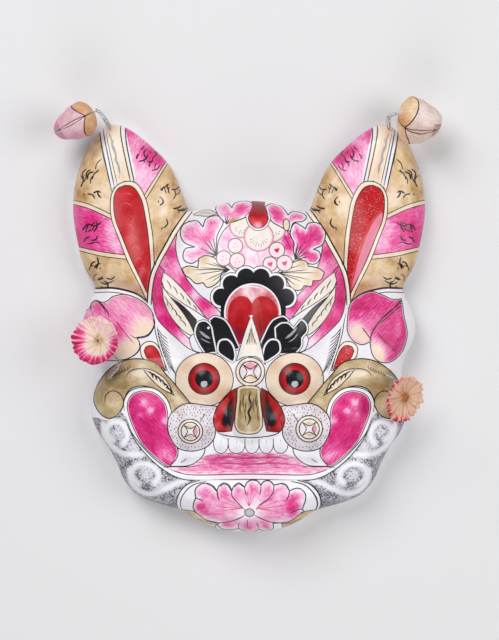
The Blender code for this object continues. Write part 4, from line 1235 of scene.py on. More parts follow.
lacquer, given, out = new_group(
    "Lacquer",
    [("Roughness", FLOAT, 0.3), ("Relief", FLOAT, 1.0)],
    [("Roughness", FLOAT), ("Height", FLOAT)],
)
place = node(lacquer, "ShaderNodeTexCoord").outputs["Object"]
smudges = noise(lacquer, place, 45.0, 5.0, 0.6)
peel = noise(lacquer, place, 260.0, 3.0, 0.5)
lumps = noise(lacquer, place, 55.0, 2.0, 0.5)
uneven = summed(lacquer, "MULTIPLY", summed(lacquer, "SUBTRACT", smudges, 0.5), 0.35)
lacquer.links.new(summed(lacquer, "ADD", uneven, given.outputs["Roughness"]), out.inputs["Roughness"])
both = summed(lacquer, "ADD", summed(lacquer, "MULTIPLY", peel, 0.25), lumps)
lacquer.links.new(summed(lacquer, "MULTIPLY", both, given.outputs["Relief"]), out.inputs["Height"])

specks, given, out = new_group(
    "Specks",
    [("Scale", FLOAT, 400.0), ("Cover", FLOAT, 0.5), ("Softness", FLOAT, 0.1)],
    [("Mask", FLOAT)],
)
place = node(specks, "ShaderNodeTexCoord")
grit = node(specks, "ShaderNodeTexNoise", in_3=3.0, in_4=0.6)
specks.links.new(place.outputs["Object"], grit.inputs["Vector"])
specks.links.new(given.outputs["Scale"], grit.inputs["Scale"])
ranged = node(specks, "ShaderNodeMapRange")
specks.links.new(grit.outputs[0], ranged.inputs[0])
specks.links.new(summed(specks, "SUBTRACT", given.outputs["Cover"], given.outputs["Softness"]),
                 ranged.inputs[1])
specks.links.new(summed(specks, "ADD", given.outputs["Cover"], given.outputs["Softness"]), ranged.inputs[2])
specks.links.new(ranged.outputs[0], out.inputs[0])
print("node groups:", [group.name for group in (brush_marks, lacquer, specks)])

# %% [markdown]
# ## The pigments
#
# A pigment is a row of shades of one wash, from its palest to its deepest, under lacquer. The
# brush marks choose the shade from place to place. The shades are given as a screen shows them,
# from 0 to 255, and turned into the linear values that the shader wants.

# %% Mix the pigments
def mixed_from(*shown):
    """A linear colour from the 0 to 255 values that a screen shows."""
    return tuple(((c / 255 + 0.055) / 1.055) ** 2.4 if c > 10 else c / 255 / 12.92 for c in shown) + (1.0,)


def place_group(tree, group, **values):
    """Puts a group in a material with its own values."""
    made = node(tree, "ShaderNodeGroup", node_tree=group)
    for name, value in values.items():
        made.inputs[name].default_value = value
    return made


def ramp_of(tree, share, shades):
    """A colour ramp over shades spread evenly from 0 to 1."""
    ramp = tree.nodes.new("ShaderNodeValToRGB").color_ramp
    ramp.elements[0].color = mixed_from(*shades[0])
    ramp.elements[1].color = mixed_from(*shades[-1])
    for k, shade in enumerate(shades[1:-1], 1):
        ramp.elements.new(k / (len(shades) - 1)).color = mixed_from(*shade)
    made = tree.nodes[-1]
    tree.links.new(share, made.inputs[0])
    return made.outputs[0]


def lacquered(name, roughness=0.38, relief=1.0, coat=0.2, coat_roughness=0.3, bump=0.25):
    """A material under lacquer, and its tree and shader, ready for a base colour."""
    material = bpy.data.materials.new(name)
    material.use_nodes = True
    tree = material.node_tree
    shader = tree.nodes["Principled BSDF"]
    shader.inputs["Specular IOR Level"].default_value = 0.3
    shader.inputs["Coat Weight"].default_value = coat
    shader.inputs["Coat Roughness"].default_value = coat_roughness
    skin = place_group(tree, lacquer, Roughness=roughness, Relief=relief)
    tree.links.new(skin.outputs["Roughness"], shader.inputs["Roughness"])
    lifted = node(tree, "ShaderNodeBump")
    lifted.inputs["Strength"].default_value = bump
    lifted.inputs["Distance"].default_value = 0.0006
    tree.links.new(skin.outputs["Height"], lifted.inputs["Height"])
    tree.links.new(lifted.outputs[0], shader.inputs["Normal"])
    return material, tree, shader


PIGMENTS = {}


def pigment(name, *shades, streaks=0.35, pools=0.35, grit=0.1, **finish):
    """One pigment, in shades from its palest wash to its deepest."""
    material, tree, shader = lacquered(name, **finish)
    marks = place_group(tree, brush_marks, Streaks=streaks, Pools=pools, Grit=grit)
    colour = ramp_of(tree, marks.outputs[0], shades)
    tree.links.new(colour, shader.inputs["Base Color"])
    PIGMENTS[name] = material
    return tree, shader, colour, marks.outputs[0]


pigment("white", (248, 246, 249), (232, 229, 236), (204, 200, 212), streaks=0.5)
pigment("cream", (247, 235, 219), (230, 206, 176), (204, 170, 128), streaks=0.6)
pigment("tooth", (248, 246, 249), (222, 220, 230), (190, 188, 202))
pigment("feather", (246, 238, 230), (222, 208, 190), (152, 138, 122), streaks=0.9)
pigment("horn", (249, 241, 230), (226, 208, 184), (150, 136, 122), streaks=0.8)
pigment("eye_cream", (246, 228, 208), (232, 200, 170), (214, 160, 124), streaks=0.5)
pigment("peach", (247, 232, 214), (242, 208, 180), (228, 168, 130), streaks=0.6)
pigment("pearl_blush", (248, 226, 230), (226, 150, 162), (190, 60, 72), streaks=0.8)
pigment("rose_rim", (238, 176, 192), (222, 120, 146), streaks=0.6)
pigment("rose", (236, 110, 160), (206, 40, 106), streaks=0.6)
pigment("magenta", (250, 234, 243), (246, 178, 214), (233, 78, 156), (208, 16, 106), streaks=0.9, pools=0.6,
        grit=0.4)
pigment("tongue_wash", (249, 238, 244), (243, 166, 205), (226, 76, 150), (200, 30, 110), streaks=1.6,
        pools=0.5, grit=0.3)
pigment("temple_wash", (244, 222, 200), (243, 196, 204), (238, 140, 190), (224, 64, 142), (198, 22, 104),
        streaks=1.1, pools=0.4, grit=0.25)
pigment("pad_wash", (240, 234, 240), (222, 212, 220), (196, 176, 190), streaks=0.5)
pigment("ochre", (240, 218, 192), (218, 186, 142), (186, 144, 88), (138, 94, 46), streaks=0.4, pools=1.1,
        grit=0.2)
pigment("olive_ochre", (236, 222, 198), (206, 184, 146), (170, 144, 98), (124, 98, 58), streaks=0.5,
        pools=1.0, grit=0.2)
pigment("ochre_line", (204, 160, 90), (160, 110, 50))
pigment("vermilion", (238, 168, 178), (212, 62, 70), (186, 12, 24), (112, 4, 14), streaks=0.4, pools=0.4,
        grit=0.15)
pigment("dark_red", (150, 14, 24), (70, 4, 10))
pigment("wine", (150, 24, 70), (96, 10, 44))
pigment("umber", (96, 66, 36), (50, 34, 22), streaks=0.8)
pigment("ink", (56, 46, 44), (12, 9, 10), roughness=0.26)
pigment("black", (30, 30, 36), (8, 8, 11), roughness=0.26)
pigment("soft_ink", (110, 94, 82), (44, 36, 32), streaks=0.8)
pigment("cloud_grey", (196, 196, 204), (92, 92, 102), streaks=0.8)

tree, shader, colour, strength = pigment(
    "fur", (244, 243, 248), (222, 221, 230), (196, 195, 206), streaks=0.5, relief=1.5)
for scale, reach, tone in ((700.0, 0.62, (112, 110, 120)), (1100.0, 0.6, (40, 38, 46))):
    specked = place_group(tree, specks, Scale=scale, Softness=0.03)
    tree.links.new(spread(tree, strength, 0.86, 1.02 - reach), specked.inputs["Cover"])
    colour = mixed(tree, specked.outputs[0], colour, mixed_from(*tone))
tree.links.new(colour, shader.inputs["Base Color"])

tree, shader, colour, _ = pigment(
    "glittered_red", (240, 172, 184), (212, 70, 80), (192, 18, 28), (150, 8, 16), streaks=0.4, pools=0.3)
grit = place_group(tree, specks, Scale=1100.0, Cover=0.655, Softness=0.02)
flaked = mixed(tree, grit.outputs[0], colour, mixed_from(246, 226, 222))
tree.links.new(flaked, shader.inputs["Base Color"])

tree, shader, colour, _ = pigment(
    "bare_pulp", (214, 200, 174), (186, 168, 138), (160, 140, 110), streaks=0.6, roughness=0.85, relief=2.5,
    coat=0.0, bump=0.6)
grit = place_group(tree, specks, Scale=260.0, Cover=0.62, Softness=0.05)
fibrous = mixed(tree, grit.outputs[0], colour, mixed_from(120, 100, 76))
tree.links.new(fibrous, shader.inputs["Base Color"])

material, tree, shader = lacquered("floor_paper", 0.9, 1.0, 0.0, 0.5, 0.05)
shader.inputs["Base Color"].default_value = mixed_from(226, 225, 226)
floor.data.materials.append(material)
print("pigments:", len(PIGMENTS))

# %% [markdown]
# ## Cutting the paint into the shell
#
# A constrained Delaunay triangulation takes every painted outline and a fine lattice of points,
# and returns triangles that never cross an outline. Each triangle then wears the last pigment
# that covers its middle. The front is lifted onto the moulded height, closed with a flat rim,
# and lined with a plain back, so the shell has its real thickness of paper.

# %% Cut a sheet of triangles
FRONT_MESH = 1.7
BACK_MESH = 5.0
TINY = 1e-4


def lattice(ring, spacing):
    """Points of a triangular lattice inside the ring."""
    low, high = ring.min(0), ring.max(0)
    row_step = spacing * math.sqrt(3) / 2
    rows = np.arange(math.floor(low[1] / row_step), math.ceil(high[1] / row_step) + 1)
    columns = np.arange(math.floor(low[0] / spacing) - 1, math.ceil(high[0] / spacing) + 1)
    column, row = np.meshgrid(columns, rows)
    points = np.column_stack([((column + 0.5 * (row % 2)) * spacing).ravel(), (row * row_step).ravel()])
    return points[inside(points, ring)]


def cut_sheet(ring, rings, spacing):
    """Triangles over the region inside the ring, cut along it and along the other rings."""
    points = [ring]
    edges = []
    start = 0
    for outline in (ring, *rings):
        if start:
            points.append(outline)
        count = len(outline)
        edges += [(start + k, start + (k + 1) % count) for k in range(count)]
        start += count
    everything = np.vstack([*points, lattice(ring, spacing)])
    found, _, triangles, *_ = delaunay_2d_cdt([Vector(p) for p in everything], edges, [], 0, TINY)
    places = np.array([tuple(p) for p in found])
    triangles = np.array([t for t in triangles if len(t) == 3])
    kept = inside(places[triangles].mean(1), ring)
    triangles = triangles[kept]
    used, renumbered = np.unique(triangles, return_inverse=True)
    return places[used], renumbered.reshape(-1, 3)


def edge_loop(triangles, places):
    """The outer edge of a sheet of triangles as point numbers, in order, the sheet to its left."""
    pairs = np.vstack([triangles[:, [0, 1]], triangles[:, [1, 2]], triangles[:, [2, 0]]])
    directed = {(a, b) for a, b in pairs.tolist()}
    after = {a: b for a, b in directed if (b, a) not in directed}
    loops = []
    while after:
        start = next(iter(after))
        loop = [start]
        following = after.pop(start)
        while following != start and following in after:
            loop.append(following)
            following = after.pop(following)
        loops.append(loop)
    return max(loops, key=len)


print("the front's mesh is", FRONT_MESH, "mm wide, and the back's", BACK_MESH)

# %% [markdown]
# ## Brush marks
#
# Every corner of every triangle carries three numbers for its pigment: how far it lies along the
# brush marks and across them, and how strong the wash is there. They are worked out from the
# wash of the shape that the triangle belongs to.

# %% Brush marks on the triangles
EDGE_FADE = 2.4
SWIRL_LIFT = 0.8
SWIRL_REACH = 1.8
TURN_WIDTH = 9.0


def brushed(corners, outline, how):
    """Where each corner lies along and across the brush marks, and how strong its paint is."""
    flat = corners.reshape(-1, 2)
    strength = np.full(len(flat), how["base"])
    if how["edge"]:
        away = distance_to(flat, np.vstack([outline, outline[:1]]))
        strength -= how["edge"] * np.exp(-((away / EDGE_FADE) ** 2))
    for x, y, radius, change in how["spots"]:
        off = flat - at([(x, y)])
        strength += change * np.exp(-(off**2).sum(1) / (radius * SQUARE) ** 2)
    for line in how["lines"]:
        strength -= SWIRL_LIFT * np.exp(-((distance_to(flat, line) / SWIRL_REACH) ** 2))
    if isinstance(how["grain"], float):
        turn = math.radians(how["grain"])
        along = flat @ (math.cos(turn), math.sin(turn))
        across = flat @ (-math.sin(turn), math.cos(turn))
    else:
        off = corners - at([how["grain"]])
        along = np.hypot(off[..., 0], off[..., 1]).ravel()
        angle = np.arctan2(off[..., 1], off[..., 0])
        unwound = (angle - angle[:, :1] + math.pi) % (2 * math.pi) - math.pi
        across = ((angle[:, :1] + unwound) * TURN_WIDTH).ravel()
    return np.column_stack([along, across, strength]).reshape(-1, 3, 3)


print("a swirl is bare for about", SWIRL_REACH, "mm to each side")

# %% [markdown]
# ## One shell
#
# The front's triangles are lifted onto the moulding. Below their edge come a foot, a flat rim as
# wide as the wall is thick, and an inner wall that meets the plain back. Each face gets its own
# normals, so the paint shows no facets.

# %% Build a painted shell
BARE_STRENGTH = 0.3
REST_STRENGTH = 0.4
SEAM_TOUCH = 0.5
SEAM_LIP = 0.8
EDGE_LEAN = (0.94, 0.34)
STEEPEST = 0.6


def painted_shell(name, ring, layers, seam_lines, nodes):
    """One hollow shell with its paint, from its outline and its layers of paint."""
    places, triangles = cut_sheet(ring, [layer[1] for layer in layers], FRONT_MESH)
    a, b, c = (places[triangles[:, k]] for k in range(3))
    clockwise = ((b - a)[:, 0] * (c - a)[:, 1] - (b - a)[:, 1] * (c - a)[:, 0]) < 0
    triangles[clockwise] = triangles[clockwise][:, ::-1]
    middles = places[triangles].mean(1)
    owner = np.full(len(triangles), -1)
    for number, (_, outline, _) in enumerate(layers):
        low, high = outline.min(0), outline.max(0)
        near = np.nonzero(((middles >= low) & (middles <= high)).all(1))[0]
        if len(near):
            owner[near[inside(middles[near], outline)]] = number
    names = sorted({"white", "bare_pulp", *(layer[0] for layer in layers)})
    wears = np.array([names.index("white")] + [names.index(layer[0]) for layer in layers])[owner + 1]
    brush = np.dstack([places[triangles], np.full(triangles.shape, BARE_STRENGTH)])
    for number in np.unique(owner[owner >= 0]):
        _, outline, how = layers[number]
        mine = owner == number
        brush[mine] = brushed(places[triangles[mine]], outline, how)

    loop = edge_loop(triangles, places)
    edge = places[loop]
    out = -sideways(edge, True)
    out = out / np.linalg.norm(out, axis=1)[:, None]
    at_seam = np.min([distance_to(edge, line) for line in seam_lines], axis=0) < SEAM_TOUCH
    inset = np.where(at_seam, 0.0, WALL)
    top = height(places)
    normals = out_of_the_front(places)
    normals[loop] = np.where(
        at_seam[:, None], normals[loop],
        np.column_stack([out * EDGE_LEAN[0], np.full(len(loop), EDGE_LEAN[1])]))
    inner = edge - out * inset[:, None]
    shoulder = height(inner) - WALL
    back_places, back_triangles = cut_sheet(inner, [], BACK_MESH)
    back_normals = out_of_the_front(back_places, 1.0)
    back_height = height(back_places) - WALL / np.maximum(back_normals[:, 2], STEEPEST)
    back_loop = edge_loop(back_triangles, back_places)

    front_count = len(places)
    edge_count = len(loop)
    foot_height = np.where(at_seam, top[loop] - SEAM_LIP * WALL, 0.0)
    foot = np.column_stack([edge, foot_height])
    inner_foot = np.column_stack([inner, foot_height])
    inner_top = np.column_stack([inner, np.maximum(shoulder, foot_height)])
    vertices = np.vstack([
        np.column_stack([places, top]), foot, inner_foot, inner_top,
        np.column_stack([back_places, back_height]),
    ])
    back_start = front_count + 3 * edge_count
    nearest = {tuple(np.round(p, 3)): k for k, p in enumerate(inner)}
    for k in back_loop:
        match = nearest.get(tuple(np.round(back_places[k], 3)))
        if match is not None:
            vertices[back_start + k, 2] = inner_top[match, 2]

    faces = triangles.tolist()
    face_normals = [normals[t] for t in triangles]
    wears = wears.tolist()
    pulp = names.index("bare_pulp")
    white = names.index("white")
    rings = [loop, list(range(front_count, front_count + edge_count)),
             list(range(front_count + edge_count, front_count + 2 * edge_count)),
             list(range(front_count + 2 * edge_count, back_start))]
    upright = np.column_stack([out, np.zeros(edge_count)])
    down = np.tile((0.0, 0.0, -1.0), (edge_count, 1))
    for band, (upper, lower) in enumerate(zip(rings, rings[1:])):
        facing = (upright, down, -upright)[band]
        for k in range(edge_count):
            after = (k + 1) % edge_count
            if band and at_seam[k] and at_seam[after]:
                continue
            faces.append([upper[after], upper[k], lower[k], lower[after]])
            face_normals.append(facing[[after, k, k, after]])
            wears.append(white if band == 0 else pulp)
    for t in back_triangles:
        a, b, c = back_places[t]
        if (b - a)[0] * (c - a)[1] - (b - a)[1] * (c - a)[0] > 0:
            t = t[::-1]
        faces.append((t + back_start).tolist())
        face_normals.append(-back_normals[t])
        wears.append(pulp)

    mesh = bpy.data.meshes.new(name)
    mesh.from_pydata((vertices * MM).tolist(), [], faces)
    made = put(name, mesh)
    for pigment_name in names:
        mesh.materials.append(PIGMENTS[pigment_name])
    mesh.polygons.foreach_set("material_index", wears)
    rest = [v for face in faces[len(triangles):] for v in face]
    rest_brush = np.column_stack([vertices[rest][:, :2], np.full(len(rest), REST_STRENGTH)])
    marks = mesh.attributes.new("brush", "FLOAT_VECTOR", "CORNER")
    marks.data.foreach_set("vector", np.vstack([brush.reshape(-1, 3), rest_brush]).ravel())
    mesh.shade_smooth()
    mesh.normals_split_custom_set(np.vstack(face_normals).tolist())
    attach(made, "root")
    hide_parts(*nodes)
    print(name, "has", len(triangles), "triangles on its front,", len(faces), "faces in all")


# %% [markdown]
# ## The face and the ears
#
# The three shells share the moulding and part along the seams, with a hair of air between them,
# as the plain model's do. Their outlines are closed with the two sides of that seam.

# %% Build the face and the ears
OUTLINE_STEP = 1.2
forehead = evened(open_curve(FOREHEAD_EDGE, 0.5), OUTLINE_STEP)
ear_edge = evened(open_curve(EAR_EDGE, 0.5), OUTLINE_STEP)
jaw = evened(open_curve(JAW_EDGE, 0.5), OUTLINE_STEP)
seam = np.vstack([open_curve(SEAM_OVER_THE_CHEEK, 0.5)[:-1], open_curve(SEAM_UP_THE_BROW, 0.5)])
seam = evened(seam, OUTLINE_STEP)[::-1]
seam_side = sideways(seam, False)
face_seam = seam - seam_side * SEAM_GAP / 2
ear_seam = seam + seam_side * SEAM_GAP / 2
forehead[-1], jaw[0] = face_seam[0], face_seam[-1]
ear_edge[0], ear_edge[-1] = ear_seam[0], ear_seam[-1]
half = np.vstack([forehead[:-1], face_seam[:-1], jaw])
face_ring = anticlockwise(np.vstack([half, half[1:-1][::-1] * (-1, 1)]))
painted_shell(
    "painted_face", face_ring, FACE_PAINT, [face_seam, face_seam * (-1, 1)], ["face_shell"])
for side, word in ((-1, "left"), (1, "right")):
    ear_ring = anticlockwise(np.vstack([ear_edge[:-1], ear_seam[::-1][:-1]]) * (side, 1))
    painted_shell(
        f"painted_ear_{word}", ear_ring, EAR_PAINT[side], [ear_seam * (side, 1)], [f"ear_{word}"])

# %% [markdown]
# ## The springs
#
# Thin steel wire is wound tightly round a rod and pulled off as a spring. The coil follows a
# curved route from its root on the shell to the bud or flower. A Curve object with a round
# bevel is the usual way to make wire.

# %% Wind the springs
WIRE = 0.8
COIL_RADIUS = 1.35
PITCH = 1.9
POINTS_A_TURN = 14
LEG = 1.4
SPRUNG = {
    "ear_left": {
        "root": (-111.5, 149.0), "via": (-115.5, 157.0, 30.0), "foot": (-123.4, 162.0, 33.0),
        "facing": (-0.87, -0.45, -0.05), "roll": 90.0,
    },
    "ear_right": {
        "root": (111.5, 149.0), "via": (111.5, 158.0, 29.0), "foot": (119.0, 160.2, 32.0),
        "facing": (0.97, -0.22, -0.05), "roll": 0.0,
    },
    "cheek_left": {
        "root": (-109.5, -48.8), "via": (-103.5, -37.0, 50.0), "foot": (-118.6, -21.5, 51.0),
        "facing": (-0.30, 0.12, 0.95), "roll": 0.0,
    },
    "cheek_right": {
        "root": (109.5, -48.8), "via": (115.0, -52.0, 44.5), "foot": (117.0, -64.0, 42.0),
        "facing": (0.62, -0.25, 0.74), "roll": 12.0,
    },
}
steel = bpy.data.materials.new("spring_wire")
steel.use_nodes = True
shader = steel.node_tree.nodes["Principled BSDF"]
shader.inputs["Metallic"].default_value = 1.0
tree = steel.node_tree
place = node(tree, "ShaderNodeTexCoord").outputs["Object"]
dulled = noise(tree, place, 900.0, 3.0, 0.5)
bright = mixed(tree, dulled, mixed_from(236, 236, 240), mixed_from(150, 148, 150))
tree.links.new(bright, shader.inputs["Base Color"])
tree.links.new(spread(tree, dulled, 0.15, 0.45), shader.inputs["Roughness"])


def wound_spring(word, spot):
    """A wire spring between the shell and what it carries."""
    root = np.array([spot["root"]])
    seat = Vector((*spot["root"], float(height(root)[0])))
    normal = Vector(out_of_the_front(root)[0])
    way = Vector(spot["facing"]).normalized()
    end = Vector(spot["foot"]) + way * 1.0
    route = [seat - normal, seat + normal * 2 * LEG, Vector(spot["via"]), end - way * (2 * LEG + 1.0), end]
    axis = evened(open_curve(route, 0.1), 0.1)
    length = 0.1 * (len(axis) - 1)
    turns = round(length / PITCH)
    axis = evened(axis, length / (turns * POINTS_A_TURN))
    ways = [Vector(b - a).normalized() for a, b in zip(axis, axis[1:])]
    ways.append(ways[-1])
    across = ways[0].orthogonal().normalized()
    data = bpy.data.curves.new(f"spring_{word}", "CURVE")
    data.dimensions = "3D"
    data.bevel_depth = WIRE / 2 * MM
    data.bevel_resolution = 3
    data.use_fill_caps = True
    line = data.splines.new("POLY")
    line.points.add(len(axis) - 1)
    for k, (centre, way, spot_point) in enumerate(zip(axis, ways, line.points)):
        across = (across - way * across.dot(way)).normalized()
        from_end = min(k, len(axis) - 1 - k) * length / (len(axis) - 1)
        radius = COIL_RADIUS * min(1.0, max(0.0, (from_end - LEG) / LEG))
        angle = 2 * math.pi * k / POINTS_A_TURN
        point = Vector(centre) + radius * (math.cos(angle) * across + math.sin(angle) * way.cross(across))
        spot_point.co = (*(point * MM), 1.0)
    made = put(f"wire_spring_{word}", data)
    data.materials.append(steel)
    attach(made, "root")
    kind, side = word.split("_")
    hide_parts(f"{kind}_spring_{side}")
    print(made.name, "turns:", turns)


for word, spot in SPRUNG.items():
    wound_spring(word, spot)

# %% [markdown]
# ## The buds
#
# Each bud is a small stuffed form, flattened a little, with a tan calyx round the end that the
# wire enters. A turned profile gives the form, three shallow folds make it look wrapped, and its
# middle sags a little.
# The paint follows the folds: every point knows its share of the length and how far it is from
# a fold, and those two values place the calyx, the fine lines and the hairs at the tip.

# %% Make the buds
BUD_LENGTH = 36.0
# How wide and how thick each bud is, and how far its middle sags towards the chin
BUDS = {"left": (34.0, 28.5, 0.6), "right": (38.0, 25.0, 2.2)}
BUD_PROFILE = [
    (0.0, 0.0), (0.03, 0.42), (0.10, 0.75), (0.20, 0.95), (0.32, 1.00), (0.52, 0.92),
    (0.76, 0.70), (0.90, 0.49), (0.97, 0.28), (1.0, 0.0),
]
BUD_ROUND = 96
FOLDS = 3
FOLD_DEPTH = 0.07
FOLD_WIDTH = 0.2
CALYX_END = 0.18
TIP_HAIRS_FROM = 0.82


def placed(vertices, spot):
    """The vertices of a piece, put at its foot with its +Z the way that it faces, in metres."""
    turn = Vector(spot["facing"]).to_track_quat("Z", "Y") @ Quaternion((0, 0, 1), math.radians(spot["roll"]))
    foot = Vector(spot["foot"])
    return [(turn @ Vector(v) + foot) * MM for v in vertices]


def faces_between(rings, count):
    """Faces between rings of points that follow each other, with count points to a ring."""
    faces = []
    for ring in range(rings - 1):
        low, high = ring * count, (ring + 1) * count
        for k in range(count):
            after = (k + 1) % count
            faces.append((low + k, low + after, high + after, high + k))
    return faces


def painted_piece(name, points, faces, brush, paint):
    """A smooth object from points in metres, with its brush marks and its paint."""
    mesh = bpy.data.meshes.new(name)
    mesh.from_pydata(points, [], faces)
    marks = mesh.attributes.new("brush", "FLOAT_VECTOR", "POINT")
    marks.data.foreach_set("vector", np.array(brush).ravel())
    mesh.shade_smooth()
    mesh.materials.append(paint)
    return put(name, mesh)


def bud_paint(name, blush, *shades):
    """The painted skin of a bud: streaked petals, a mottled calyx and fine ink lines."""
    material, tree, shader = lacquered(name, 0.42, 1.5, 0.15, 0.3, 0.3)
    marks = place_group(tree, brush_marks, Streaks=0.7, Pools=0.8, Grit=0.5)
    petals = ramp_of(tree, marks.outputs[0], shades)
    calyx = ramp_of(tree, marks.outputs[0], ((240, 220, 190), (218, 176, 132), (194, 132, 90), (146, 88, 58)))
    along = node(tree, "ShaderNodeAttribute", attribute_name="along").outputs["Fac"]
    fold = node(tree, "ShaderNodeAttribute", attribute_name="fold").outputs["Fac"]

    def math_of(kind, first, second=0.0):
        """A Math node in this material."""
        return summed(tree, kind, first, second)

    def near(value, reach):
        """1 where a value lies within reach of 0, and 0 elsewhere."""
        return math_of("LESS_THAN", math_of("ABSOLUTE", value), reach)

    past = math_of("SUBTRACT", along, math_of("ADD", math_of("MULTIPLY", fold, 0.2), CALYX_END))
    on_petals = math_of("GREATER_THAN", past)
    from_calyx = math_of("SUBTRACT", along, CALYX_END)
    swell = math_of("MULTIPLY", from_calyx, math_of("SUBTRACT", 1.0, along))
    petal_lines = near(math_of("SUBTRACT", fold, math_of("MULTIPLY", swell, 0.85)), 0.034)
    at_tip = math_of("GREATER_THAN", along, TIP_HAIRS_FROM)
    hairs = math_of("GREATER_THAN", math_of("SINE", math_of("MULTIPLY", fold, 46.0)), 0.55)
    hairs = math_of("MULTIPLY", math_of("MULTIPLY", hairs, at_tip), math_of("LESS_THAN", fold, 0.7))
    lines = math_of("MAXIMUM", math_of("MULTIPLY", petal_lines, on_petals), hairs)
    lines = math_of("MAXIMUM", lines, near(past, 0.014))
    calyx_fold = math_of("SUBTRACT", near(fold, 0.05), on_petals)
    lines = math_of("MAXIMUM", lines, calyx_fold)
    blushed = math_of("MULTIPLY", at_tip, math_of("GREATER_THAN", marks.outputs[0], 0.4))
    blushed = math_of("MULTIPLY", blushed, math_of("GREATER_THAN", fold, 0.35))
    petals = mixed(tree, blushed, petals, mixed_from(*blush))
    painted = mixed(tree, on_petals, calyx, petals)
    tree.links.new(mixed(tree, lines, painted, mixed_from(52, 30, 30)), shader.inputs["Base Color"])
    return material


def bud(word, spot, paint, tint):
    """A bud with shallow folds. A tint above 0 deepens the paint away from the folds."""
    width, thickness, sag = BUDS[word]
    profile = open_curve([(share * BUD_LENGTH, part * width / 2) for share, part in BUD_PROFILE], 0.5)
    vertices, along, fold, brush = [], [], [], []
    for z, radius in profile:
        share = z / BUD_LENGTH
        for k in range(BUD_ROUND):
            angle = 2 * math.pi * k / BUD_ROUND
            away = abs(math.sin(FOLDS / 2 * angle))
            dent = FOLD_DEPTH * math.exp(-((away / FOLD_WIDTH) ** 2)) * min(1.0, share * 3)
            reach = radius * (1 - dent)
            reach *= 1 - 0.02 * math.sin(3.1 * share * 7 + 5 * angle)
            vertices.append((reach * math.cos(angle), reach * math.sin(angle) * thickness / width, z))
            along.append(share)
            fold.append(away)
            brush.append((z, angle * 12, 0.42 + tint * (away - 0.4)))
    points = placed(vertices, spot)
    for point, share in zip(points, along):
        point.y -= sag * math.sin(math.pi * share) * MM
    faces = faces_between(len(profile), BUD_ROUND)
    made = painted_piece(f"painted_bud_{word}", points, faces, brush, paint)
    for label, values in (("along", along), ("fold", fold)):
        made.data.attributes.new(label, "FLOAT", "POINT").data.foreach_set("value", values)
    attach(made, "root")
    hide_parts(f"ear_bud_{word}")
    print(made.name, "faces:", len(faces))


bud("left", SPRUNG["ear_left"], bud_paint(
    "lilac_bud", (214, 130, 166), (228, 208, 202), (222, 188, 190), (218, 156, 184), (200, 96, 144)), 0.24)
bud("right", SPRUNG["ear_right"], bud_paint(
    "beige_bud", (200, 60, 96), (236, 222, 218), (216, 190, 178), (200, 166, 152), (184, 122, 116)), -0.36)

# %% [markdown]
# ## The flowers
#
# Each flower is one strip of thin cloth, gathered at the middle into broad pleated petals and
# crumpled at the edge, where it is dyed deep pink. A grid of rings gives the petals: each one
# has its own width and length, swells between two creases, and breaks into crumples at its tip.
# A small gathered button closes the middle. The Solidify modifier gives the cloth a thickness.

# %% Make the flowers
PETALS = 11
POINTS_A_PETAL = 24
RINGS = 36
CUP_RADIUS = 19.6
CUP_FLOOR = 5.0
CUP_RISE = 6.2
HEART_RADIUS = 0.3
CRUMPLED_FROM = 0.62
CLOTH = 0.35


def dyed_cloth(name, *shades):
    """Thin cloth, in shades from its heart to its dyed tips."""
    tree, shader, _, _ = pigment(
        name, *shades, streaks=0.3, pools=0.35, grit=0.35, roughness=0.6, coat=0.0, bump=0.4)
    shader.inputs["Sheen Weight"].default_value = 0.2
    return PIGMENTS[name]


# Each flower has its cloth, the seed of its crumples, the side where its edge is paler, how far
# in the dye goes, and how far its heart lies off the middle.
FLOWERS = {
    "left": (dyed_cloth("rose_cloth", (70, 48, 34), (196, 162, 122), (228, 204, 176), (240, 212, 206),
                        (236, 120, 168), (214, 34, 104), (176, 16, 76)), 7, (0.2, 1.0), 0.64,
                        (3.0, 1.0, 0.0)),
    "right": (dyed_cloth("peach_cloth", (120, 66, 34), (178, 112, 64), (214, 162, 124), (228, 190, 166),
                         (230, 160, 150), (206, 52, 88), (170, 30, 60)), 11, (1.0, 0.3), 0.84,
                         (4.0, 0.0, 0.0)),
}


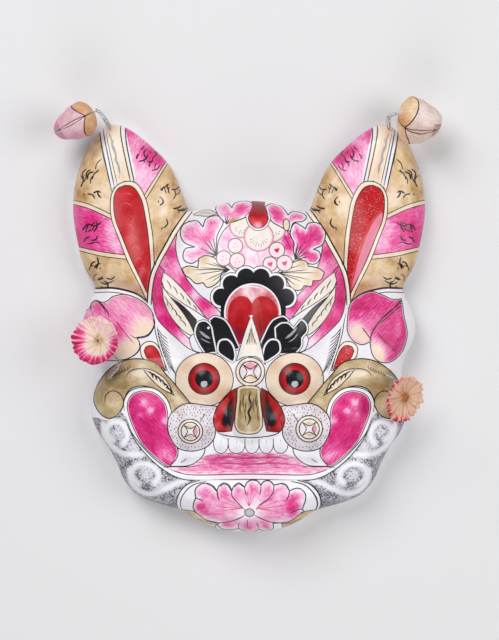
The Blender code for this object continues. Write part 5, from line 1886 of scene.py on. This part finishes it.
def flower(word, spot):
    """A pleated cup of broad crumpled petals round a gathered button."""
    cloth_paint, seed, pale_side, dyed_from, heart = FLOWERS[word]
    random = np.random.default_rng(seed)
    widths = random.uniform(0.7, 1.35, PETALS)
    edges = np.r_[0.0, np.cumsum(widths)] / widths.sum() * 2 * math.pi
    longer, bend, lift = (random.uniform(-1, 1, PETALS) for _ in range(3))
    count = PETALS * POINTS_A_PETAL
    vertices, dye, reach, slack = [], [], [], []
    for r in range(RINGS + 1):
        share = r / RINGS
        for k in range(count):
            petal, t = k // POINTS_A_PETAL, (k % POINTS_A_PETAL) / POINTS_A_PETAL
            lobe = math.sin(math.pi * t)
            turned = t + 0.05 * bend[petal] * share * lobe
            angle = edges[petal] + turned * (edges[petal + 1] - edges[petal])
            tip = max(0.0, share - CRUMPLED_FROM) / (1 - CRUMPLED_FROM)
            wave = math.sin(2 * math.pi * (2.5 * t) + 5 * bend[petal])
            radius = HEART_RADIUS + (CUP_RADIUS - HEART_RADIUS) * share
            radius += tip**2 * (1.3 * lobe**0.5 - 1.4 + 0.7 * min(0.0, longer[petal]))
            radius += 0.14 * tip * wave * lobe
            z = CUP_FLOOR + CUP_RISE * share**1.5
            z += (2.5 + 0.6 * lift[petal]) * share**0.8 * (lobe**0.5 - 0.7)
            z += share * 0.32 * math.sin(2 * math.pi * 3 * t + 2 * bend[petal])
            z += tip * (1.6 * wave * lobe + 0.6 * lift[petal]) - tip**3 * 1.2
            z += 0.8 * math.sin(9 * tip + 4 * bend[petal]) * tip
            z += 2.2 * math.exp(-((share / 0.2) ** 2)) * (1 + 0.3 * math.sin(7 * angle + 9 * share))
            vertices.append((radius * math.cos(angle), radius * math.sin(angle), z))
            wobble = (0.05 * wave + 0.05 * longer[petal]) * (share > 0.3)
            deep = np.interp(share + wobble, (0.0, 0.16, 0.26, dyed_from - 0.12, dyed_from + 0.1, 1.0),
                             (0.2, 0.2, 0.36, 0.5, 0.76, 0.9))
            # Painted shade: the dye darkens in the creases between petals, and the crumples at the tips are
            # painted lighter and darker as they fold.
            crease_shade = math.exp(-((lobe / 0.22) ** 2))
            shade = 0.08 if share > dyed_from else -0.2 * (share > 0.15)
            dye.append(deep + 0.26 * tip * wave * (1 + 0.6 * longer[petal]) + crease_shade * shade)
            reach.append(radius)
            slack.append((1 - share) ** 1.5)
    points = [point + Vector(heart) * loose * MM for point, loose in zip(placed(vertices, spot), slack)]
    middle = Vector(spot["foot"]) * MM
    brush = []
    for k, (point, share, radius) in enumerate(zip(points, dye, reach)):
        off = point - middle
        out_x, out_y = off.x / MM / CUP_RADIUS, off.y / MM / CUP_RADIUS
        paler = max(0.0, out_x * pale_side[0] + out_y * pale_side[1]) * max(0.0, share - 0.5) * 1.5
        dot = -0.3 if math.hypot(vertices[k][0] - 1.2, vertices[k][1] + 1.0) < 0.55 else 0.0
        brush.append((radius, k % count * 0.6, max(share - paler, min(share, 0.5)) + dot))
    faces = faces_between(RINGS + 1, count)
    made = painted_piece(f"pleated_flower_{word}", points, faces, brush, cloth_paint)
    cloth = made.modifiers.new("cloth", "SOLIDIFY")
    cloth.thickness = CLOTH * MM
    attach(made, "root")
    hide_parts(f"cheek_flower_{word}")
    print(made.name, "faces:", len(faces))


for word in ("left", "right"):
    flower(word, SPRUNG[f"cheek_{word}"])
